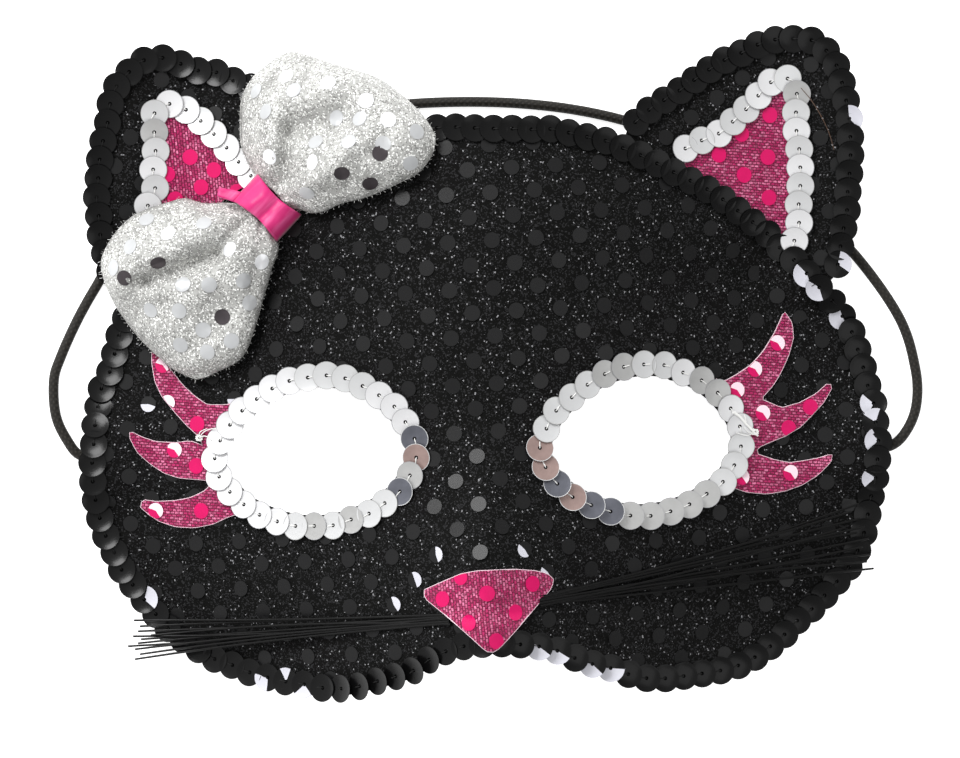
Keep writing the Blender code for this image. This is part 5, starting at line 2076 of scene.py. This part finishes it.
@dataclass
class LooseThreads:
    """The knotted thread ends at the outer corners of the eyes."""

    mask: Mask
    radius: float = 0.13
    knots: tuple[Triple, ...] = ((755, 432, 150), (199, 438, 20))
    leans: tuple[float, ...] = (-24.0, 14.0, 38.0)
    height: float = 1.5
    turns: int = 40
    sides: int = 6
    taper: float = 0.7
    seed: int = 15
    thick_radius: float = 0.34
    thick_height: float = 1.75
    nylon_radius: float = 0.09
    nylon_height: float = 2.2
    thick: tuple[Pair, ...] = ((733, 412), (740, 417), (746, 424), (752, 430), (758, 436))
    nylon: tuple[Pair, ...] = ((801, 88), (811, 100), (821, 116), (829, 133), (834, 150))

    def build(self) -> None:
        """Makes the knots and tails as one piece."""
        relief = self.mask.relief
        chance = random.Random(self.seed)
        draft = Draft()
        for x, y, degrees in self.knots:
            p = at_pixel(x, y)
            middle = Vector((p.x, p.y, relief.height(p.x, p.y) + self.height))
            loop = []
            for k in range(self.turns):
                a = k * 0.8
                r = 0.55 + 0.25 * math.sin(k * 1.7)
                loop.append(middle + Vector((r * math.cos(a), r * math.sin(a), 0.35 * math.sin(a * 0.5))))
            draft.tube(loop, self.radius, self.sides)
            for lean in self.leans:
                a = math.radians(degrees + lean)
                reach = chance.uniform(2.6, 4.6)
                path = []
                for k in range(9):
                    t = k / 8
                    q = p + Vector((math.cos(a), math.sin(a))) * reach * t
                    q += Vector((-math.sin(a), math.cos(a))) * 0.5 * math.sin(4 * t)
                    z = relief.height(q.x, q.y) + self.height + 0.3 * math.sin(3 * t)
                    path.append(Vector((q.x, q.y, z)))
                draft.tube(path, self.radius, self.sides, 0, self.taper)
        ends = (
            (self.thick, self.thick_radius, 0, self.thick_height),
            (self.nylon, self.nylon_radius, 1, self.nylon_height),
        )
        for pixels, radius, look, up in ends:
            line = smooth_route([tuple(at_pixel(x, y)) for x, y in pixels], False)
            path = [Vector((q.x, q.y, relief.height(q.x, q.y) + up)) for q in line]
            draft.tube(path, radius, 8, look, self.taper)
        w = self.mask.wardrobe
        dress(draft.build("thread_ends", [w.thread_white, w.nylon]), "silver_sequin")


@dataclass
class Studio:
    """The pale floor, the soft lights and the camera straight above."""

    distance: float = 2500.0
    frame_width: float = 205.5
    sensor: float = 36.0
    focus_height: float = 12.0
    aim_x: float = -1.18
    aim_y: float = -3.77
    floor_size: float = 3000.0
    world: float = 0.72
    world_slope: float = 0.48
    bright_side: Triple = (-0.8, 0.6, 0.0)
    floor_glow: float = 0.85
    floor_drop: float = 0.05
    clip: Pair = (0.1, 20.0)
    key: tuple[Colour, float, float] = ((-0.55, 0.75, 0.95), 0.5, 14.0)
    fill: tuple[Colour, float, float] = ((0.7, -0.3, 1.2), 0.9, 3.0)

    def camera(self) -> None:
        """Adds the camera, far off with a long lens."""
        data = bpy.data.cameras.new("camera")
        data.sensor_width = self.sensor
        data.lens = self.sensor * (self.distance - self.focus_height) / self.frame_width
        data.clip_start, data.clip_end = self.clip
        obj = linked("camera", data)
        obj.location = Vector((self.aim_x, self.aim_y, self.distance)) * MM
        bpy.context.scene.camera = obj

    def light(self, name: str, place: Triple, size: float, power: float) -> None:
        """Adds a square soft light that points at the mask.

        Args:
            name: the light's name.
            place: where it hangs, in metres.
            size: its side, in metres.
            power: its power in watts.
        """
        data = bpy.data.lights.new(name, "AREA")
        data.size = size
        data.energy = power
        obj = linked(name, data)
        obj.location = place
        obj.rotation_euler = (-Vector(place)).to_track_quat("-Z", "Y").to_euler()

    def build(self) -> None:
        """Sets up the whole studio."""
        scene = bpy.context.scene
        scene.view_settings.view_transform = "Standard"
        world = bpy.data.worlds.new("studio")
        world.use_nodes = True
        nodes, links = world.node_tree.nodes, world.node_tree.links
        shade = nodes["Background"]
        shade.inputs["Color"].default_value = (1.0, 1.0, 1.0, 1.0)
        way = nodes.new("ShaderNodeTexCoord")
        toward = nodes.new("ShaderNodeVectorMath")
        toward.operation = "DOT_PRODUCT"
        toward.inputs[1].default_value = self.bright_side
        slope = nodes.new("ShaderNodeMath")
        slope.operation = "MULTIPLY_ADD"
        slope.inputs[1].default_value = self.world_slope
        slope.inputs[2].default_value = self.world
        links.new(way.outputs["Generated"], toward.inputs[0])
        links.new(toward.outputs["Value"], slope.inputs[0])
        links.new(slope.outputs["Value"], shade.inputs["Strength"])
        scene.world = world
        self.camera()
        self.light("key", *self.key)
        self.light("fill", *self.fill)
        finish = Gloss("pale floor", (0.9, 0.9, 0.9), 0.8, specular=0.1, patchy=0.01).make()
        glow = finish.node_tree.nodes["Principled BSDF"]
        glow.inputs["Emission Color"].default_value = (1.0, 1.0, 1.0, 1.0)
        glow.inputs["Emission Strength"].default_value = self.floor_glow
        half = self.floor_size / 2
        draft = Draft()
        corners = ((-half, -half), (half, -half), (half, half), (-half, half))
        draft.add([Vector((x, y, -self.floor_drop)) for x, y in corners], [(0, 1, 2, 3)])
        draft.build("floor", [finish])


def dress_tabs(frame: dict, wardrobe: Wardrobe) -> None:
    """Gives the two tabs that hold the elastic their finish."""
    for side in Side:
        for slot in frame["nodes"]["cord_anchor_" + side.word].material_slots:
            slot.material = wardrobe.tab
        log.info("cord_anchor_%s: kept", side.word)


def main() -> None:
    """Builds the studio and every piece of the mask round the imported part."""
    logging.basicConfig(level=logging.INFO, format="%(name)s: %(message)s")
    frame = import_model()
    Studio().build()
    wardrobe = Wardrobe()
    ElasticCord(wardrobe.elastic).build()
    mask = Mask(Relief(), wardrobe)
    shell = FeltShell(mask)
    shell.build()
    FeltSpangles(mask, shell).build()
    SequinStrings(mask).build()
    KnitPatches(mask).build()
    bow = Bow(mask)
    bow.build()
    Knot(bow).build()
    Whiskers(mask).build()
    LooseThreads(mask).build()
    dress_tabs(frame, wardrobe)


if __name__ == "__main__":
    main()
